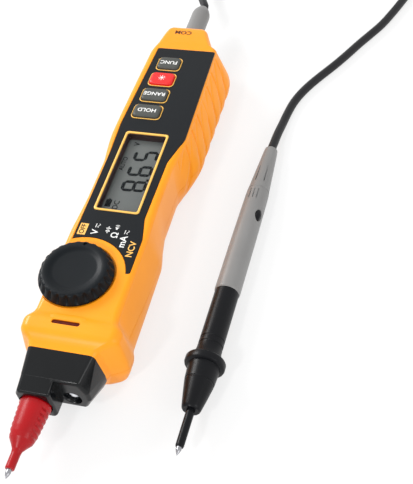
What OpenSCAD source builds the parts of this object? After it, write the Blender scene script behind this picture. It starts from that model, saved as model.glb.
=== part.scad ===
// Pen multimeter: a slim hand-held meter with a probe in its nose and a plug-in test lead.
// Frame: +Y towards the COM end, the probe points to -Y, +Z is up out of the display.
// The origin is the middle of the meter's length and width, on the surface it lies on.

/* [Overall] */
// Length from the probe's tip to the COM end
total_len = 208; // [204:1:214]
// Reach of the probe's tip in front of the nose
probe_reach = 26; // [24:1:30]
// Width across the grips
grip_w = 38.4; // [37:0.2:40]
// Height of the flat top of the case
case_h = 25; // [24.6:0.2:26]
// Wall of both case halves
wall = 1.6; // [1.4:0.1:1.8]
// Radius along the top edges of the case
edge_r = 2.1; // [1.6:0.1:2.6]
// Length of the black nose cap from its front face to the case
nose_len = 15; // [14:0.5:16]

/* [Display and faceplate] */
// Thickness of the black faceplate
plate_t = 0.5; // [0.4:0.1:0.8]
// Width of the orange rim round the display
lcd_w = 17.4; // [16:0.2:18]
// Length of the orange rim round the display
lcd_len = 41.2; // [38:0.2:42]
// Distance of the display's middle behind the nose face
lcd_from_nose = 94.2; // [92:0.2:96]
// Thickness of the clear window
window_t = 1; // [0.8:0.1:1.2]
// Thickness of the display glass
glass_t = 1.8; // [1.4:0.1:2]

/* [Knob] */
// Radius of the knob's skirt
knob_r = 13.2; // [12.4:0.1:13.6]
// Height of the knob above the case top
knob_rise = 4; // [3:0.1:5]
// Distance of the knob's axis behind the nose face
knob_from_nose = 43.9; // [43:0.1:45]
// Offset of the knob's axis to the left
knob_off = 5.1; // [4:0.1:5.6]
// Number of scallops round the knob
flutes = 24; // [16:1:28]
// Radius of the switch shaft
shaft_r = 4; // [3:0.1:4.4]

/* [Keys] */
// Length of a key cap along the meter
key_len = 7; // [6:0.1:7.4]
// Spacing of the keys
key_pitch = 9.8; // [9.6:0.1:10.2]
// Distance of the front key behind the nose face
key_from_nose = 126.4; // [126:0.1:128]
// Height of a key cap above the case top
key_rise = 1.2; // [0.8:0.1:1.6]

/* [Battery bay] */
// Diameter of a cell
cell_d = 10.5; // [10:0.1:10.6]
// Length of a cell
cell_len = 44.5; // [43:0.1:45]
// Distance of the bay's front from the COM end
bay_from_com = 69; // [68:0.5:70]
// Thickness of the battery door
door_t = 1.5; // [1.2:0.1:1.5]

/* [Sockets] */
// Radius of a plug pin
pin_r = 1.95; // [1.8:0.05:2]
// Radial clearance of a plug pin in its socket
pin_gap = 0.05; // [0.03:0.01:0.08]
// Height of the COM jack's axis above the middle of the case
jack_rise = 0.5; // [0.1:0.1:0.9]
// Offset of the COM jack to the left
jack_off = 3.8; // [3.4:0.1:4.2]
// Height of the probe's axis above the middle of the case
probe_rise = 0; // [-0.5:0.1:0.5]
// Offset of the probe to the left
probe_off = 6.4; // [6:0.1:6.8]
// Radius of the probe body where it leaves the nose
probe_r = 5.4; // [5:0.1:5.6]

/* [Test lead] */
// Diameter of the cord
cord_d = 3.6; // [3.2:0.1:3.8]
// Radius of the grey plug
plug_r = 4.1; // [3.9:0.1:4.2]
// Length of the plug outside the meter
plug_len = 28; // [26:0.5:32]
// Length of the test pen
pen_len = 139.5; // [136:0.5:143]
// Radius of the pen's guard disc
pen_guard_r = 7; // [6.6:0.1:7]
// Radius of the pen's grip
pen_r = 4.6; // [4.2:0.1:4.7]
// Radius of a probe needle
needle_r = 0.9; // [0.7:0.05:1]
// Middle radius of the coil's outer turn
coil_r = 25; // [24:0.5:26]
// Number of turns in the coil
coil_turns = 4.5; // [2.5:1:4.5]

/* [Hidden] */
// Overrun of a cut past the face it opens
over = 1;
// Gap between pieces that move past each other
play = 0.3;
// Small step for thin films and slight clearances
fine = 0.1;
// Roundness of plain turned pieces
$fn = 48;
round_fn = 32;

// Stations along the meter
tip_y = -total_len / 2;
com_y = total_len / 2;
nose_y = tip_y + probe_reach;
collar_y = nose_y + nose_len;
shell_len = com_y - collar_y;
half_w = grip_w / 2;
ceil_z = case_h - wall;
floor_z = wall;

// Rows of the case: place along the shell, half widths of the top, the side and the bottom,
// heights of the top and the bottom, and the middle's offset, each a share of its own size
collar_shares = [
    [0, 0.62, 0.69, 0.50, 0.92, 0.12, -0.05],
    [0.012, 0.65, 0.72, 0.54, 0.945, 0.08, -0.04],
    [0.018, 0.71, 0.80, 0.60, 0.965, 0.04, -0.02]];
guard_shares = [
    [0.033, 0.90, 0.97, 0.74, 1.02, 0, 0],
    [0.060, 0.91, 0.97, 0.74, 1.03, 0, 0],
    [0.072, 0.83, 0.93, 0.66, 1.00, 0, 0]];
body_shares = [
    [0.081, 0.77, 0.90, 0.60, 0.99, 0, 0],
    [0.102, 0.76, 0.90, 0.60, 1, 0, 0],
    [0.287, 0.76, 0.89, 0.60, 1, 0, 0],
    [0.341, 0.735, 0.80, 0.57, 1, 0, 0],
    [0.401, 0.715, 0.725, 0.56, 1, 0, 0],
    [0.497, 0.715, 0.725, 0.56, 1, 0, 0],
    [0.533, 0.75, 0.83, 0.60, 1, 0, 0],
    [0.575, 0.79, 0.96, 0.66, 1, 0, 0],
    [0.599, 0.80, 1.00, 0.68, 1, 0, 0],
    [0.737, 0.78, 1.00, 0.68, 1, 0, 0],
    [0.856, 0.75, 1.00, 0.68, 1, 0, 0],
    [0.892, 0.74, 0.99, 0.66, 1, 0, 0],
    [0.916, 0.71, 0.93, 0.62, 1, 0, 0.01],
    [0.931, 0.62, 0.80, 0.56, 1, 0.02, -0.04],
    [0.964, 0.53, 0.64, 0.46, 0.99, 0.07, -0.09],
    [0.992, 0.46, 0.54, 0.38, 0.97, 0.11, -0.12],
    [1, 0.43, 0.51, 0.35, 0.945, 0.14, -0.13]];
// Height of the side's upper and lower edge, and of the rounding under it
shoulder_share = 0.45;
skirt_share = 0.28;
tuck_w_share = 0.5;
tuck_h_share = 0.22;
corner_steps = 4;
// The parting line: place along the shell and height
split_shares = [[-0.05, 0.36], [0.075, 0.36], [0.081, 0.56], [0.27, 0.4], [1.05, 0.4]];

function shell_y(s) = collar_y + s * shell_len;
function arc(cx, cz, r, n) = [for (i = [0:n]) [cx + r * sin(90 * i / n), cz + r * cos(90 * i / n)]];
function half_section(row, inset) =
    let (tw = row[1] * half_w - inset,
         mw = row[2] * half_w - inset,
         bw = row[3] * half_w - inset,
         zt = row[4] * case_h - inset,
         zb = row[5] * case_h + inset,
         r = edge_r - inset / 2,
         zl = zb + (zt - zb) * skirt_share)
    concat(arc(tw - r, zt - r, r, corner_steps),
           [[mw, zb + (zt - zb) * shoulder_share], [mw, zl],
            [bw + (mw - bw) * tuck_w_share, zb + (zl - zb) * tuck_h_share], [bw, zb]]);
function section(row, inset) =
    let (h = half_section(row, inset), n = len(h), c = row[6] * half_w)
    concat([for (p = h) [c + p[0], p[1]]], [for (i = [n - 1:-1:0]) [c - h[i][0], h[i][1]]]);

// A closed skin through rings of equal count, each ring clockwise seen from its start
module skin(rings) {
    n = len(rings[0]);
    m = len(rings);
    polyhedron(
        points = [for (ring = rings) each ring],
        faces = concat(
            [[for (i = [0:n - 1]) i]],
            [for (j = [0:m - 2], i = [0:n - 1])
                let (a = j * n + i, b = j * n + (i + 1) % n, c = b + n, d = a + n)
            each [[a, d, c], [a, c, b]]],
            [[for (i = [n - 1:-1:0]) (m - 1) * n + i]]));
}
function ring_at(row, y, inset) = [for (p = section(row, inset)) [p[0], y, p[1]]];
module case_body() {
    rows = concat(collar_shares, guard_shares, body_shares);
    skin([for (row = rows) ring_at(row, shell_y(row[0]), 0)]);
}
module case_hollow() {
    last = body_shares[len(body_shares) - 1];
    skin(concat(
        [ring_at(collar_shares[0], collar_y - over, wall), ring_at(collar_shares[0], shell_y(0.02), wall)],
        [ring_at(body_shares[0], shell_y(0.03), wall)],
        [for (i = [1:len(body_shares) - 3]) ring_at(body_shares[i], shell_y(body_shares[i][0]), wall)],
        [ring_at(last, com_y - wall, wall)]));
}
module below_split() {
    edge = [for (s = split_shares) [shell_y(s[0]), s[1] * case_h]];
    rotate([90, 0, 90])
        linear_extrude(height = 2 * grip_w, center = true)
            polygon(concat(edge, [[edge[len(edge) - 1][0], -over], [edge[0][0], -over]]));
}

// An outline in X and Y raised from z0 to z1
module raise(z0, z1) {
    translate([0, 0, z0]) linear_extrude(height = z1 - z0) children();
}
module block(x0, x1, y0, y1, z0, z1) {
    translate([x0, y0, z0]) cube([x1 - x0, y1 - y0, z1 - z0]);
}
// A rod or bore along Y
module rod_y(x, z, r, y0, y1) {
    translate([x, y1, z]) rotate([90, 0, 0]) cylinder(r = r, h = y1 - y0);
}
module rod_z(x, y, r, z0, z1) {
    translate([x, y, z0]) cylinder(r = r, h = z1 - z0);
}
module rounded(x0, x1, y0, y1, r) {
    hull() for (x = [x0 + r, x1 - r], y = [y0 + r, y1 - r]) translate([x, y]) circle(r = r, $fn = round_fn);
}
// A smooth-cornered rectangle from exact pieces
module soft_rect(x0, x1, y0, y1, r) {
    translate([x0 + r, y0]) square([x1 - x0 - 2 * r, y1 - y0]);
    translate([x0, y0 + r]) square([x1 - x0, y1 - y0 - 2 * r]);
    for (x = [x0 + r, x1 - r], y = [y0 + r, y1 - r]) translate([x, y]) circle(r = r);
}

// Faceplate: the orange ring round the knob's skirt, and the outline from the front tip round to the left,
// as side shares of the half width and places along the shell
ring_w = 3.8;
knob_y = nose_y + knob_from_nose;
knob_x = -knob_off;
ring_r = knob_r + ring_w;
plate_z = case_h - plate_t;
plate_right_shares = [[0.67, 0.195], [0.67, 0.285], [0.565, 0.342], [0.585, 0.512], [0.77, 0.590],
                      [0.715, 0.904]];
plate_left_shares = [[-0.58, 0.904], [-0.70, 0.622], [-0.68, 0.530], [-0.67, 0.260], [-0.67, 0.180]];
module plate_outline(gap) {
    points = [for (s = concat(plate_right_shares, plate_left_shares)) [s[0] * half_w, shell_y(s[1])]];
    offset(delta = gap) difference() {
        polygon(points);
        translate([knob_x, knob_y]) circle(r = ring_r);
    }
}

// Battery bay heights, from the door up
cell_r = cell_d / 2;
cell_gap = 0.15;
cell_x = cell_r + cell_gap;
cell_z = door_t + fine + cell_x;
bay_top = cell_z + cell_r + play;
roof_t = 0.8;

// Display stack: what is left between the bay's roof and the window is shared by the light guide and
// the gap under the circuit board
lip_t = 0.5;
board_t = 1.6;
board_gap_share = 0.208;
window_z = ceil_z - window_t;
glass_top = window_z - lip_t - fine;
glass_z = glass_top - glass_t;
spare_h = glass_z - board_t - bay_top - roof_t;
board_z = bay_top + roof_t + spare_h * board_gap_share;
board_top = board_z + board_t;

// Circuit board
board_x = 11.5;
board_nose_x = 7.6;
board_start = 20.8;
board_step = 31;
board_end = 162;
board_nose_y = nose_y + board_start;
board_y0 = nose_y + board_step;
board_y1 = nose_y + board_end;

// Display stack, from the window down to the board
lcd_off = 0.55;
lcd_x = -lcd_off;
lcd_y = nose_y + lcd_from_nose;
lcd_round = 1.2;
window_round = 0.8;
rim_t = 0.9;
lip_w = 0.4;
bezel_t = 1.3;
zebra_w = 1.6;
zebra_short = 2;
lcd_x0 = lcd_x - lcd_w / 2;
lcd_x1 = lcd_x + lcd_w / 2;
lcd_y0 = lcd_y - lcd_len / 2;
lcd_y1 = lcd_y + lcd_len / 2;
module lcd_rect(grow, r) {
    soft_rect(lcd_x0 - grow, lcd_x1 + grow, lcd_y0 - grow, lcd_y1 + grow, r);
}

// Keys, from the front: hold, range, light, func, with the places of their left sides
key_off = 1.15;
key_left_shares = [0.505, 0.475, 0.445, 0.415];
key_gap = 0.2;
key_rim = 0.75;
key_round = 1.6;
key_crown = 0.5;
key_crown_in = 0.4;
key_flange = 0.8;
key_flange_t = 1;
stem_r = 1.8;
dome_h = 1.9;
dome_foot_r = 3.4;
dome_top_r = 2;
dome_t = 0.5;
key_top = case_h + key_rise;
key_flange_top = ceil_z - 2 * fine;
function key_y(i) = nose_y + key_from_nose + i * key_pitch;
function key_mid(i) = (key_off - key_left_shares[i] * half_w) / 2;
module key_rect(i, grow) {
    reach = key_len / 2 + grow;
    left = key_left_shares[i] * half_w + grow;
    soft_rect(-left, key_off + grow, key_y(i) - reach, key_y(i) + reach, key_round + grow / 2);
}

// Screws and the bosses that they enter
screw_r = 1.2;
screw_head_r = 2.1;
screw_head_t = 1.6;
boss_r = 2.4;
boss_wall = 0.8;
head_z = 4;
slot_t = 0.5;
slot_depth = 0.7;
slot_reach = 1.2;
board_screw_r = 0.8;
board_boss_r = 1.8;
board_head_r = 1.5;
board_head_t = 0.8;
board_screw_len = 6;
board_screw_x = 9;
board_screw_places = [34, 68, 158];
board_spots = [for (d = board_screw_places) [board_screw_x, nose_y + d]];

// Switch under the knob: it points at its second position
positions = 5;
knob_first = 103;
knob_step = 15;
knob_rest = knob_first - knob_step;
recess_depth = 0.8;
knob_gap = 0.4;
knob_z = case_h - recess_depth + knob_gap;
knob_top = case_h + knob_rise;
rotor_r = 6.8;
rotor_lift = 1.2;
rotor_z = board_top + rotor_lift;
rotor_top = ceil_z - 2 * play;
rotor_gap = 1.1;
detent_wall_r = rotor_r + rotor_gap;
detent_wall_t = 0.9;
ball_r = 0.9;
notch_share = 0.9;
ball_gap = 0.15;
detent_z = (rotor_z + rotor_top) / 2;
track_t = 0.1;
track_w = 1;
track_radii = [2.6, 4.1, 5.6];
pivot_hole_r = 1.5;

// Battery bay and its door, with a screwed tab at the back
cell_tip_r = 1.9;
cell_tip = 0.8;
spring_len = 3.4;
contact_t = 0.4;
contact_half = 4;
bay_wall = 2;
bay_in = 2 * cell_r + cell_gap + play;
bay_y0 = com_y - bay_from_com;
cell_y0 = bay_y0 + spring_len + contact_t;
cell_y1 = cell_y0 + cell_len;
bay_y1 = cell_y1 + contact_t + fine;
door_ledge = 0.9;
door_y0 = bay_y0 - door_ledge + play;
door_y1 = bay_y1 + door_ledge - play;
door_x = bay_in + door_ledge - play;
tab_len = 5.5;
tab_half = 4.5;
door_screw_y = door_y1 + tab_len / 2 - fine;
door_head_t = 0.8;
insert_r = 1.9;
insert_wall = 1.3;
insert_cap = 0.6;

// Case screws
screw_cover = 4.4;
case_screw_top = ceil_z - screw_cover;
front_screw = 23.5;
back_screw = 138;
front_screw_x = 11.4;
back_screw_x = bay_in + bay_wall + boss_r + fine;
case_spots = [for (side = [-1, 1]) each [
    [side * front_screw_x, nose_y + front_screw],
    [side * back_screw_x, nose_y + back_screw]]];
function parting_z(y) = split_shares[y < 0 ? 0 : len(split_shares) - 1][1] * case_h;

// Jack, plug and probe sockets
jack_x = -jack_off;
jack_z = case_h / 2 + jack_rise;
probe_z = case_h / 2 + probe_rise;
probe_x = -probe_off;
socket_r = pin_r + pin_gap;
tube_t = 0.65;
tube_r = socket_r + tube_t;
shroud_gap = 0.4;
mouth_r = plug_r + play;
sleeve_t = 1;
sleeve_r = mouth_r + sleeve_t;
sleeve_set = 1.5;
plug_in = 12;
plug_wall = 1;
jack_len = 13;
jack_back = 3;
socket_end = 1;
jack_y1 = com_y - jack_back;
jack_y0 = jack_y1 - jack_len;
probe_in = 5;
probe_hole_r = probe_r + play;
socket_len = 12;
socket_y0 = nose_y + probe_in + socket_end;
socket_y1 = socket_y0 + socket_len;
lug_w = 2.4;
lug_t = 0.5;
lug_lap = 2;
insert_drop = 1.2;
insert_top = jack_z - sleeve_r - insert_drop;

module jack_cut() {
    rod_y(jack_x, jack_z, sleeve_r, com_y - wall - over, com_y + over);
}
module upper_case() {
    color("orange") difference() {
        union() {
            difference() {
                case_body();
                case_hollow();
                below_split();
            }
            intersection() {
                case_body();
                upper_bosses();
            }
        }
        difference() {
            raise(plate_z, case_h + over) plate_outline(fine);
            raise(plate_z - over, case_h) lcd_rect(0, lcd_round);
            for (i = [0:3]) raise(plate_z - over, case_h) key_rect(i, key_gap + key_rim);
        }
        raise(ceil_z - over, case_h + over) lcd_rect(-rim_t, window_round);
        for (i = [0:3]) raise(ceil_z - over, case_h + over) key_rect(i, key_gap);
        rod_z(knob_x, knob_y, knob_r + knob_gap, case_h - recess_depth, case_h + over);
        rod_z(knob_x, knob_y, shaft_r + pin_gap, ceil_z - over, case_h);
        raise(ceil_z - over, case_h + 2 * over) slot_outline(0);
        jack_cut();
        for (s = case_spots) rod_z(s[0], s[1], screw_r + pin_gap, floor_z, case_screw_top);
        for (s = board_spots)
            rod_z(s[0], s[1], board_screw_r + pin_gap, board_top - over, board_top + board_screw_len);
        for (t = [0:positions - 1]) detent_notch(knob_first - t * knob_step);
    }
}
module detent_notch(a) {
    for (side = [0, 180]) rotate_knob(a + side)
        rod_z(detent_wall_r, 0, ball_r * notch_share, detent_z - ball_r, detent_z + ball_r);
}
module rotate_knob(a) {
    translate([knob_x, knob_y, 0]) rotate([0, 0, a]) children();
}
module upper_bosses() {
    for (s = case_spots) rod_z(s[0], s[1], boss_r, parting_z(s[1]), ceil_z + fine);
    for (s = board_spots) rod_z(s[0], s[1], board_boss_r, board_top, ceil_z + fine);
    difference() {
        rod_z(knob_x, knob_y, detent_wall_r + detent_wall_t, rotor_z, ceil_z + fine);
        rod_z(knob_x, knob_y, detent_wall_r, rotor_z - over, ceil_z + over);
    }
}

// Alarm window in the guard
slot_off = 1.8;
slot_x = -slot_off;
slot_len = 10;
slot_w = 1.7;
slot_from_nose = 24.1;
slot_y = nose_y + slot_from_nose;
slot_proud = 0.2;
alarm_r = 1.5;
alarm_h = 2;
module slot_outline(inset) {
    r = slot_w / 2 - inset;
    reach = (slot_len - slot_w) / 2;
    for (side = [-1, 1]) translate([slot_x + side * reach, slot_y]) circle(r = r);
    translate([slot_x - reach, slot_y - r]) square([2 * reach, 2 * r]);
}
module alarm_led() {
    color([0.9, 0.3, 0.25]) rod_z(slot_x, slot_y, alarm_r, board_top, board_top + alarm_h);
}
module alarm_window() {
    color([0.35, 0.05, 0.03]) raise(board_top + alarm_h + play, case_h + slot_proud) slot_outline(fine / 2);
}

module lower_case() {
    color("orange") difference() {
        union() {
            intersection() {
                difference() {
                    case_body();
                    case_hollow();
                }
                below_split();
            }
            intersection() {
                case_body();
                lower_bosses();
            }
        }
        block(-bay_in, bay_in, bay_y0, bay_y1, -over, bay_top);
        raise(-over, door_t + fine) door_outline(play);
        jack_cut();
        for (s = case_spots) {
            rod_z(s[0], s[1], screw_head_r + play, -over, head_z + screw_head_t);
            rod_z(s[0], s[1], screw_r + pin_gap, -over, case_h);
        }
        rod_z(0, door_screw_y, insert_r, -over, insert_top);
    }
}
module door_outline(gap) {
    translate([-door_x - gap, door_y0 - gap]) square([2 * (door_x + gap), door_y1 - door_y0 + 2 * gap]);
    translate([-tab_half - gap, door_y1 - door_ledge])
        square([2 * (tab_half + gap), tab_len + door_ledge + gap]);
}
module lower_bosses() {
    for (s = case_spots) rod_z(s[0], s[1], screw_head_r + play + boss_wall, 0, parting_z(s[1]));
    block(-bay_in - bay_wall, bay_in + bay_wall, bay_y0 - bay_wall, bay_y1 + bay_wall, 0, bay_top + roof_t);
    rod_z(0, door_screw_y, insert_r + insert_wall, 0, insert_top + insert_cap);
    tab_end = door_y1 + tab_len + play + wall;
    block(-tab_half - wall, tab_half + wall, bay_y1, tab_end, 0, door_t + fine + boss_wall);
}

// Nose cap: a wide part with the torch, and a narrow part that carries the probe
torch_set = 5;
torch_off = 4.3;
torch_drop = 1;
torch_r = 2.5;
torch_well_r = 4;
torch_well = 1.2;
torch_in = 3.4;
torch_body = 3.6;
leg_r = 0.3;
leg_off = 1.27;
spigot = 3;
slab_t = 0.1;
nose_split = 0.3;
plate_gap = 1.2;
sense_t = 0.3;
sense_x0 = 8;
sense_x1 = 6;
torch_x = torch_off;
torch_z = case_h / 2 - torch_drop;
torch_face_y = nose_y + torch_set;
// Outline of the wide part's front face, as side shares of the half width and shares of the height
nose_front_shares = [[0.46, 0.80], [0.56, 0.62], [0.56, 0.44], [0.43, 0.24], [-0.55, 0.24], [-0.67, 0.44],
                     [-0.68, 0.68], [-0.62, 0.82], [-0.56, 0.845], [0.42, 0.845]];
// Outline of the narrow part's front face
nose_tip_shares = [[-0.015, 0.76], [-0.015, 0.28], [-0.06, 0.235], [-0.53, 0.235], [-0.65, 0.42],
                   [-0.66, 0.68], [-0.60, 0.785], [-0.55, 0.80], [-0.05, 0.80]];
// The hollow behind the front face, as shares of the outline's width and height
hollow_w_share = 0.84;
hollow_h_share = 0.8;
hollow_top_share = 0.5 + (nose_front_shares[9][1] - 0.5) * hollow_h_share;
sense_top = min(hollow_top_share * case_h, collar_shares[0][4] * case_h - 2 * wall) - 2 * fine;
function scaled(shares) = [for (s = shares) [s[0] * half_w, s[1] * case_h]];
module nose_slab(points, y, t) {
    translate([0, y + t, 0]) rotate([90, 0, 0]) linear_extrude(height = t) polygon(points);
}
module nose_cap() {
    front = scaled(nose_front_shares);
    mid = case_h / 2;
    color("dimgray") difference() {
        union() {
            hull() {
                nose_slab(section(collar_shares[0], 0), collar_y - slab_t, slab_t);
                nose_slab(front, torch_face_y, slab_t);
            }
            hull() {
                nose_slab(scaled(nose_tip_shares), nose_y, slab_t);
                nose_slab([for (p = front) [min(p[0], -nose_split), p[1]]], torch_face_y, slab_t);
            }
            nose_slab(section(collar_shares[0], wall + fine), collar_y - slab_t, spigot);
        }
        hull() {
            nose_slab(section(collar_shares[0], 2 * wall), collar_y + spigot, over);
            nose_slab([for (p = front) [p[0] * hollow_w_share, mid + (p[1] - mid) * hollow_h_share]],
                      torch_face_y + torch_in, slab_t);
        }
        rod_y(probe_x, probe_z, probe_hole_r, nose_y - over, nose_y + probe_in + play);
        rod_y(probe_x, probe_z, tube_r, nose_y, collar_y);
        rod_y(torch_x, torch_z, torch_r + fine, torch_face_y - over, collar_y);
        rod_y(torch_x, torch_z, torch_well_r, torch_face_y - over, torch_face_y + torch_well);
    }
}
module torch_led() {
    y = torch_face_y + torch_in;
    leg_y = board_nose_y + lug_lap;
    color([0.95, 0.97, 1]) {
        rod_y(torch_x, torch_z, torch_r, y, y + torch_body);
        translate([torch_x, y, torch_z]) sphere(r = torch_r);
        for (side = [-1, 1]) {
            rod_y(torch_x + side * leg_off, torch_z, leg_r, y + torch_body, leg_y);
            rod_z(torch_x + side * leg_off, leg_y, leg_r, torch_z - leg_r, board_z);
        }
    }
}
module sensing_plate() {
    y0 = torch_face_y + torch_in + plate_gap;
    y1 = collar_y + spigot - 2 * leg_r;
    color("peru") block(-sense_x0, sense_x1, y0, y1, sense_top - sense_t, sense_top);
}

module faceplate() {
    color([0.1, 0.1, 0.11]) difference() {
        raise(plate_z, case_h) plate_outline(0);
        raise(plate_z - over, case_h + over) lcd_rect(fine, lcd_round + fine);
        for (i = [0:3]) raise(plate_z - over, case_h + over) key_rect(i, key_gap + key_rim + fine);
    }
}
module lcd_window() {
    color([0.85, 0.9, 0.9, 0.4]) raise(window_z, ceil_z) lcd_rect(0, window_round);
}
module lcd_bezel() {
    color([0.12, 0.1, 0.13]) difference() {
        raise(board_top, window_z) lcd_rect(bezel_t, lcd_round + play);
        raise(board_top - over, window_z - lip_t) lcd_rect(2 * fine, lip_w);
        raise(board_top - over, window_z + over) lcd_rect(-rim_t - lip_w, lip_w);
    }
}
module lcd_glass() {
    color([0.55, 0.58, 0.55]) raise(glass_z, glass_top) lcd_rect(0, play);
}
module backlight_panel() {
    inset = zebra_w + fine;
    color([0.9, 0.92, 0.9])
        block(lcd_x0 + inset, lcd_x1 - inset, lcd_y0 + over, lcd_y1 - over, board_top, glass_z);
}
module zebra_strips() {
    color([0.75, 0.6, 0.65]) for (x = [lcd_x0, lcd_x1 - zebra_w])
        block(x, x + zebra_w, lcd_y0 + zebra_short, lcd_y1 - zebra_short, board_top, glass_z);
}

module main_board() {
    color([0.1, 0.4, 0.2]) difference() {
        union() {
            block(-board_x, board_x, board_y0, board_y1, board_z, board_top);
            block(-board_nose_x, board_nose_x, board_nose_y, board_y0, board_z, board_top);
        }
        for (s = board_spots) rod_z(s[0], s[1], board_screw_r + fine, board_z - over, board_top + over);
        rod_z(knob_x, knob_y, pivot_hole_r, board_z - over, board_top + over);
    }
}
module board_screws() {
    color("silver") for (s = board_spots) {
        rod_z(s[0], s[1], board_head_r, board_z - board_head_t, board_z);
        rod_z(s[0], s[1], board_screw_r, board_z, board_top + board_screw_len - over);
    }
}
module switch_tracks() {
    color("gold") for (r = track_radii) difference() {
        rod_z(knob_x, knob_y, r + track_w, board_top, board_top + track_t);
        rod_z(knob_x, knob_y, r, board_top - over, board_top + over);
    }
}
// Chips under the board: left side, width, distance behind the nose face, length and height
chips = [[-6, 12, 66, 12, 1.6], [3, 5, 84, 4, 1.5], [-8, 4, 54, 5, 1.5], [4, 6, 44, 5, 2.6]];
module circuit_packages() {
    color([0.15, 0.15, 0.16]) for (c = chips)
        block(c[0], c[0] + c[1], nose_y + c[2], nose_y + c[2] + c[3], board_z - c[4], board_z);
}

fuse_r = 2.6;
fuse_len = 20;
fuse_cap = 5;
fuse_drop = 4.4;
fuse_off = 5.5;
fuse_front = 6;
glass_inset = 0.2;
clip_t = 0.4;
clip_w = 3;
clip_off = 7.5;
clip_foot = 2;
clip_mouth = 3.2;
fuse_x = -fuse_off;
fuse_y = bay_y0 - bay_wall - fuse_front - fuse_len / 2;
fuse_z = board_z - fuse_drop;
module fuse() {
    y0 = fuse_y - fuse_len / 2;
    y1 = fuse_y + fuse_len / 2;
    color([0.85, 0.88, 0.85]) rod_y(fuse_x, fuse_z, fuse_r - glass_inset, y0 + fuse_cap, y1 - fuse_cap);
    color("silver") for (y = [y0, y1 - fuse_cap]) rod_y(fuse_x, fuse_z, fuse_r, y, y + fuse_cap);
}
module fuse_clips() {
    color("silver") for (side = [-1, 1]) difference() {
        y0 = fuse_y + side * clip_off - clip_w / 2;
        union() {
            rod_y(fuse_x, fuse_z, fuse_r + clip_t, y0, y0 + clip_w);
            block(fuse_x - clip_foot / 2, fuse_x + clip_foot / 2, y0, y0 + clip_w, fuse_z + fuse_r, board_z);
        }
        rod_y(fuse_x, fuse_z, fuse_r, y0 - over, y0 + clip_w + over);
        block(fuse_x - clip_mouth / 2, fuse_x + clip_mouth / 2, y0 - over, y0 + clip_w + over,
              fuse_z - 2 * fuse_r, fuse_z - fuse_r / 2);
    }
}

buzzer_r = 9;
buzzer_t = 0.4;
buzzer_disc_r = 6.3;
buzzer_from_nose = 55;
module buzzer() {
    y = nose_y + buzzer_from_nose;
    color([0.8, 0.65, 0.2]) rod_z(0, y, buzzer_r, floor_z, floor_z + buzzer_t);
    color([0.9, 0.9, 0.88]) rod_z(0, y, buzzer_disc_r, floor_z + buzzer_t, floor_z + 2 * buzzer_t);
}

module cell(x) {
    color([0.75, 0.76, 0.78]) {
        rod_y(x, cell_z, cell_r, cell_y0, cell_y1 - cell_tip);
        rod_y(x, cell_z, cell_tip_r, cell_y1 - cell_tip, cell_y1);
    }
}
module cell_left() cell(-cell_x);
module cell_right() cell(cell_x);
module contact_plate(x, y) {
    block(x - contact_half, x + contact_half, y, y + contact_t, cell_z - contact_half, cell_z + contact_half);
}
spring_wire = 0.5;
spring_turns = 3;
spring_foot_r = 3.4;
spring_top_r = 2;
module battery_springs() {
    color("silver") for (x = [-cell_x, cell_x]) {
        contact_plate(x, bay_y0);
        translate([x, bay_y0 + contact_t, cell_z]) rotate([-90, 0, 0])
            helix(spring_foot_r, spring_top_r, spring_len - spring_wire, spring_turns, spring_wire);
    }
}
module battery_plates() {
    color("silver") for (x = [-cell_x, cell_x]) contact_plate(x, bay_y1 - contact_t);
}
helix_sides = 6;
helix_steps = 14;
// A round wire wound upwards along Z, resting on the plane it starts from
module helix(r0, r1, h, turns, d) {
    n = turns * helix_steps;
    skin([for (j = [0:n])
        let (a = 360 * j / helix_steps, r = r0 + (r1 - r0) * j / n, z = d / 2 + (h - d / 2) * j / n)
        [for (i = [0:helix_sides - 1])
            let (b = -360 * i / helix_sides, q = r + d / 2 * cos(b))
            [q * cos(a), q * sin(a), z + d / 2 * sin(b)]]]);
}

module case_screws() {
    color("dimgray") for (s = case_spots) difference() {
        union() {
            rod_z(s[0], s[1], screw_head_r, head_z, head_z + screw_head_t);
            rod_z(s[0], s[1], screw_r, head_z + screw_head_t, case_screw_top - over);
        }
        cross_slot(s[0], s[1], head_z);
    }
}
module cross_slot(x, y, z) {
    for (a = [0, 90]) translate([x, y, 0]) rotate([0, 0, a])
        block(-slot_reach, slot_reach, -slot_t / 2, slot_t / 2, z - over, z + slot_depth);
}
module battery_door() {
    color("orange") difference() {
        raise(0, door_t) door_outline(0);
        rod_z(0, door_screw_y, screw_r + fine, -over, door_t + over);
        rod_z(0, door_screw_y, screw_head_r + fine, -over, door_head_t + fine);
    }
}
module door_screw() {
    color("dimgray") difference() {
        union() {
            rod_z(0, door_screw_y, screw_head_r, fine, door_head_t + fine);
            rod_z(0, door_screw_y, screw_r, door_head_t + fine, insert_top - fine);
        }
        cross_slot(0, door_screw_y, -fine);
    }
}
module door_insert() {
    color("gold") difference() {
        rod_z(0, door_screw_y, insert_r, door_t + play, insert_top - fine);
        rod_z(0, door_screw_y, screw_r + pin_gap, 0, insert_top);
    }
}

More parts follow.
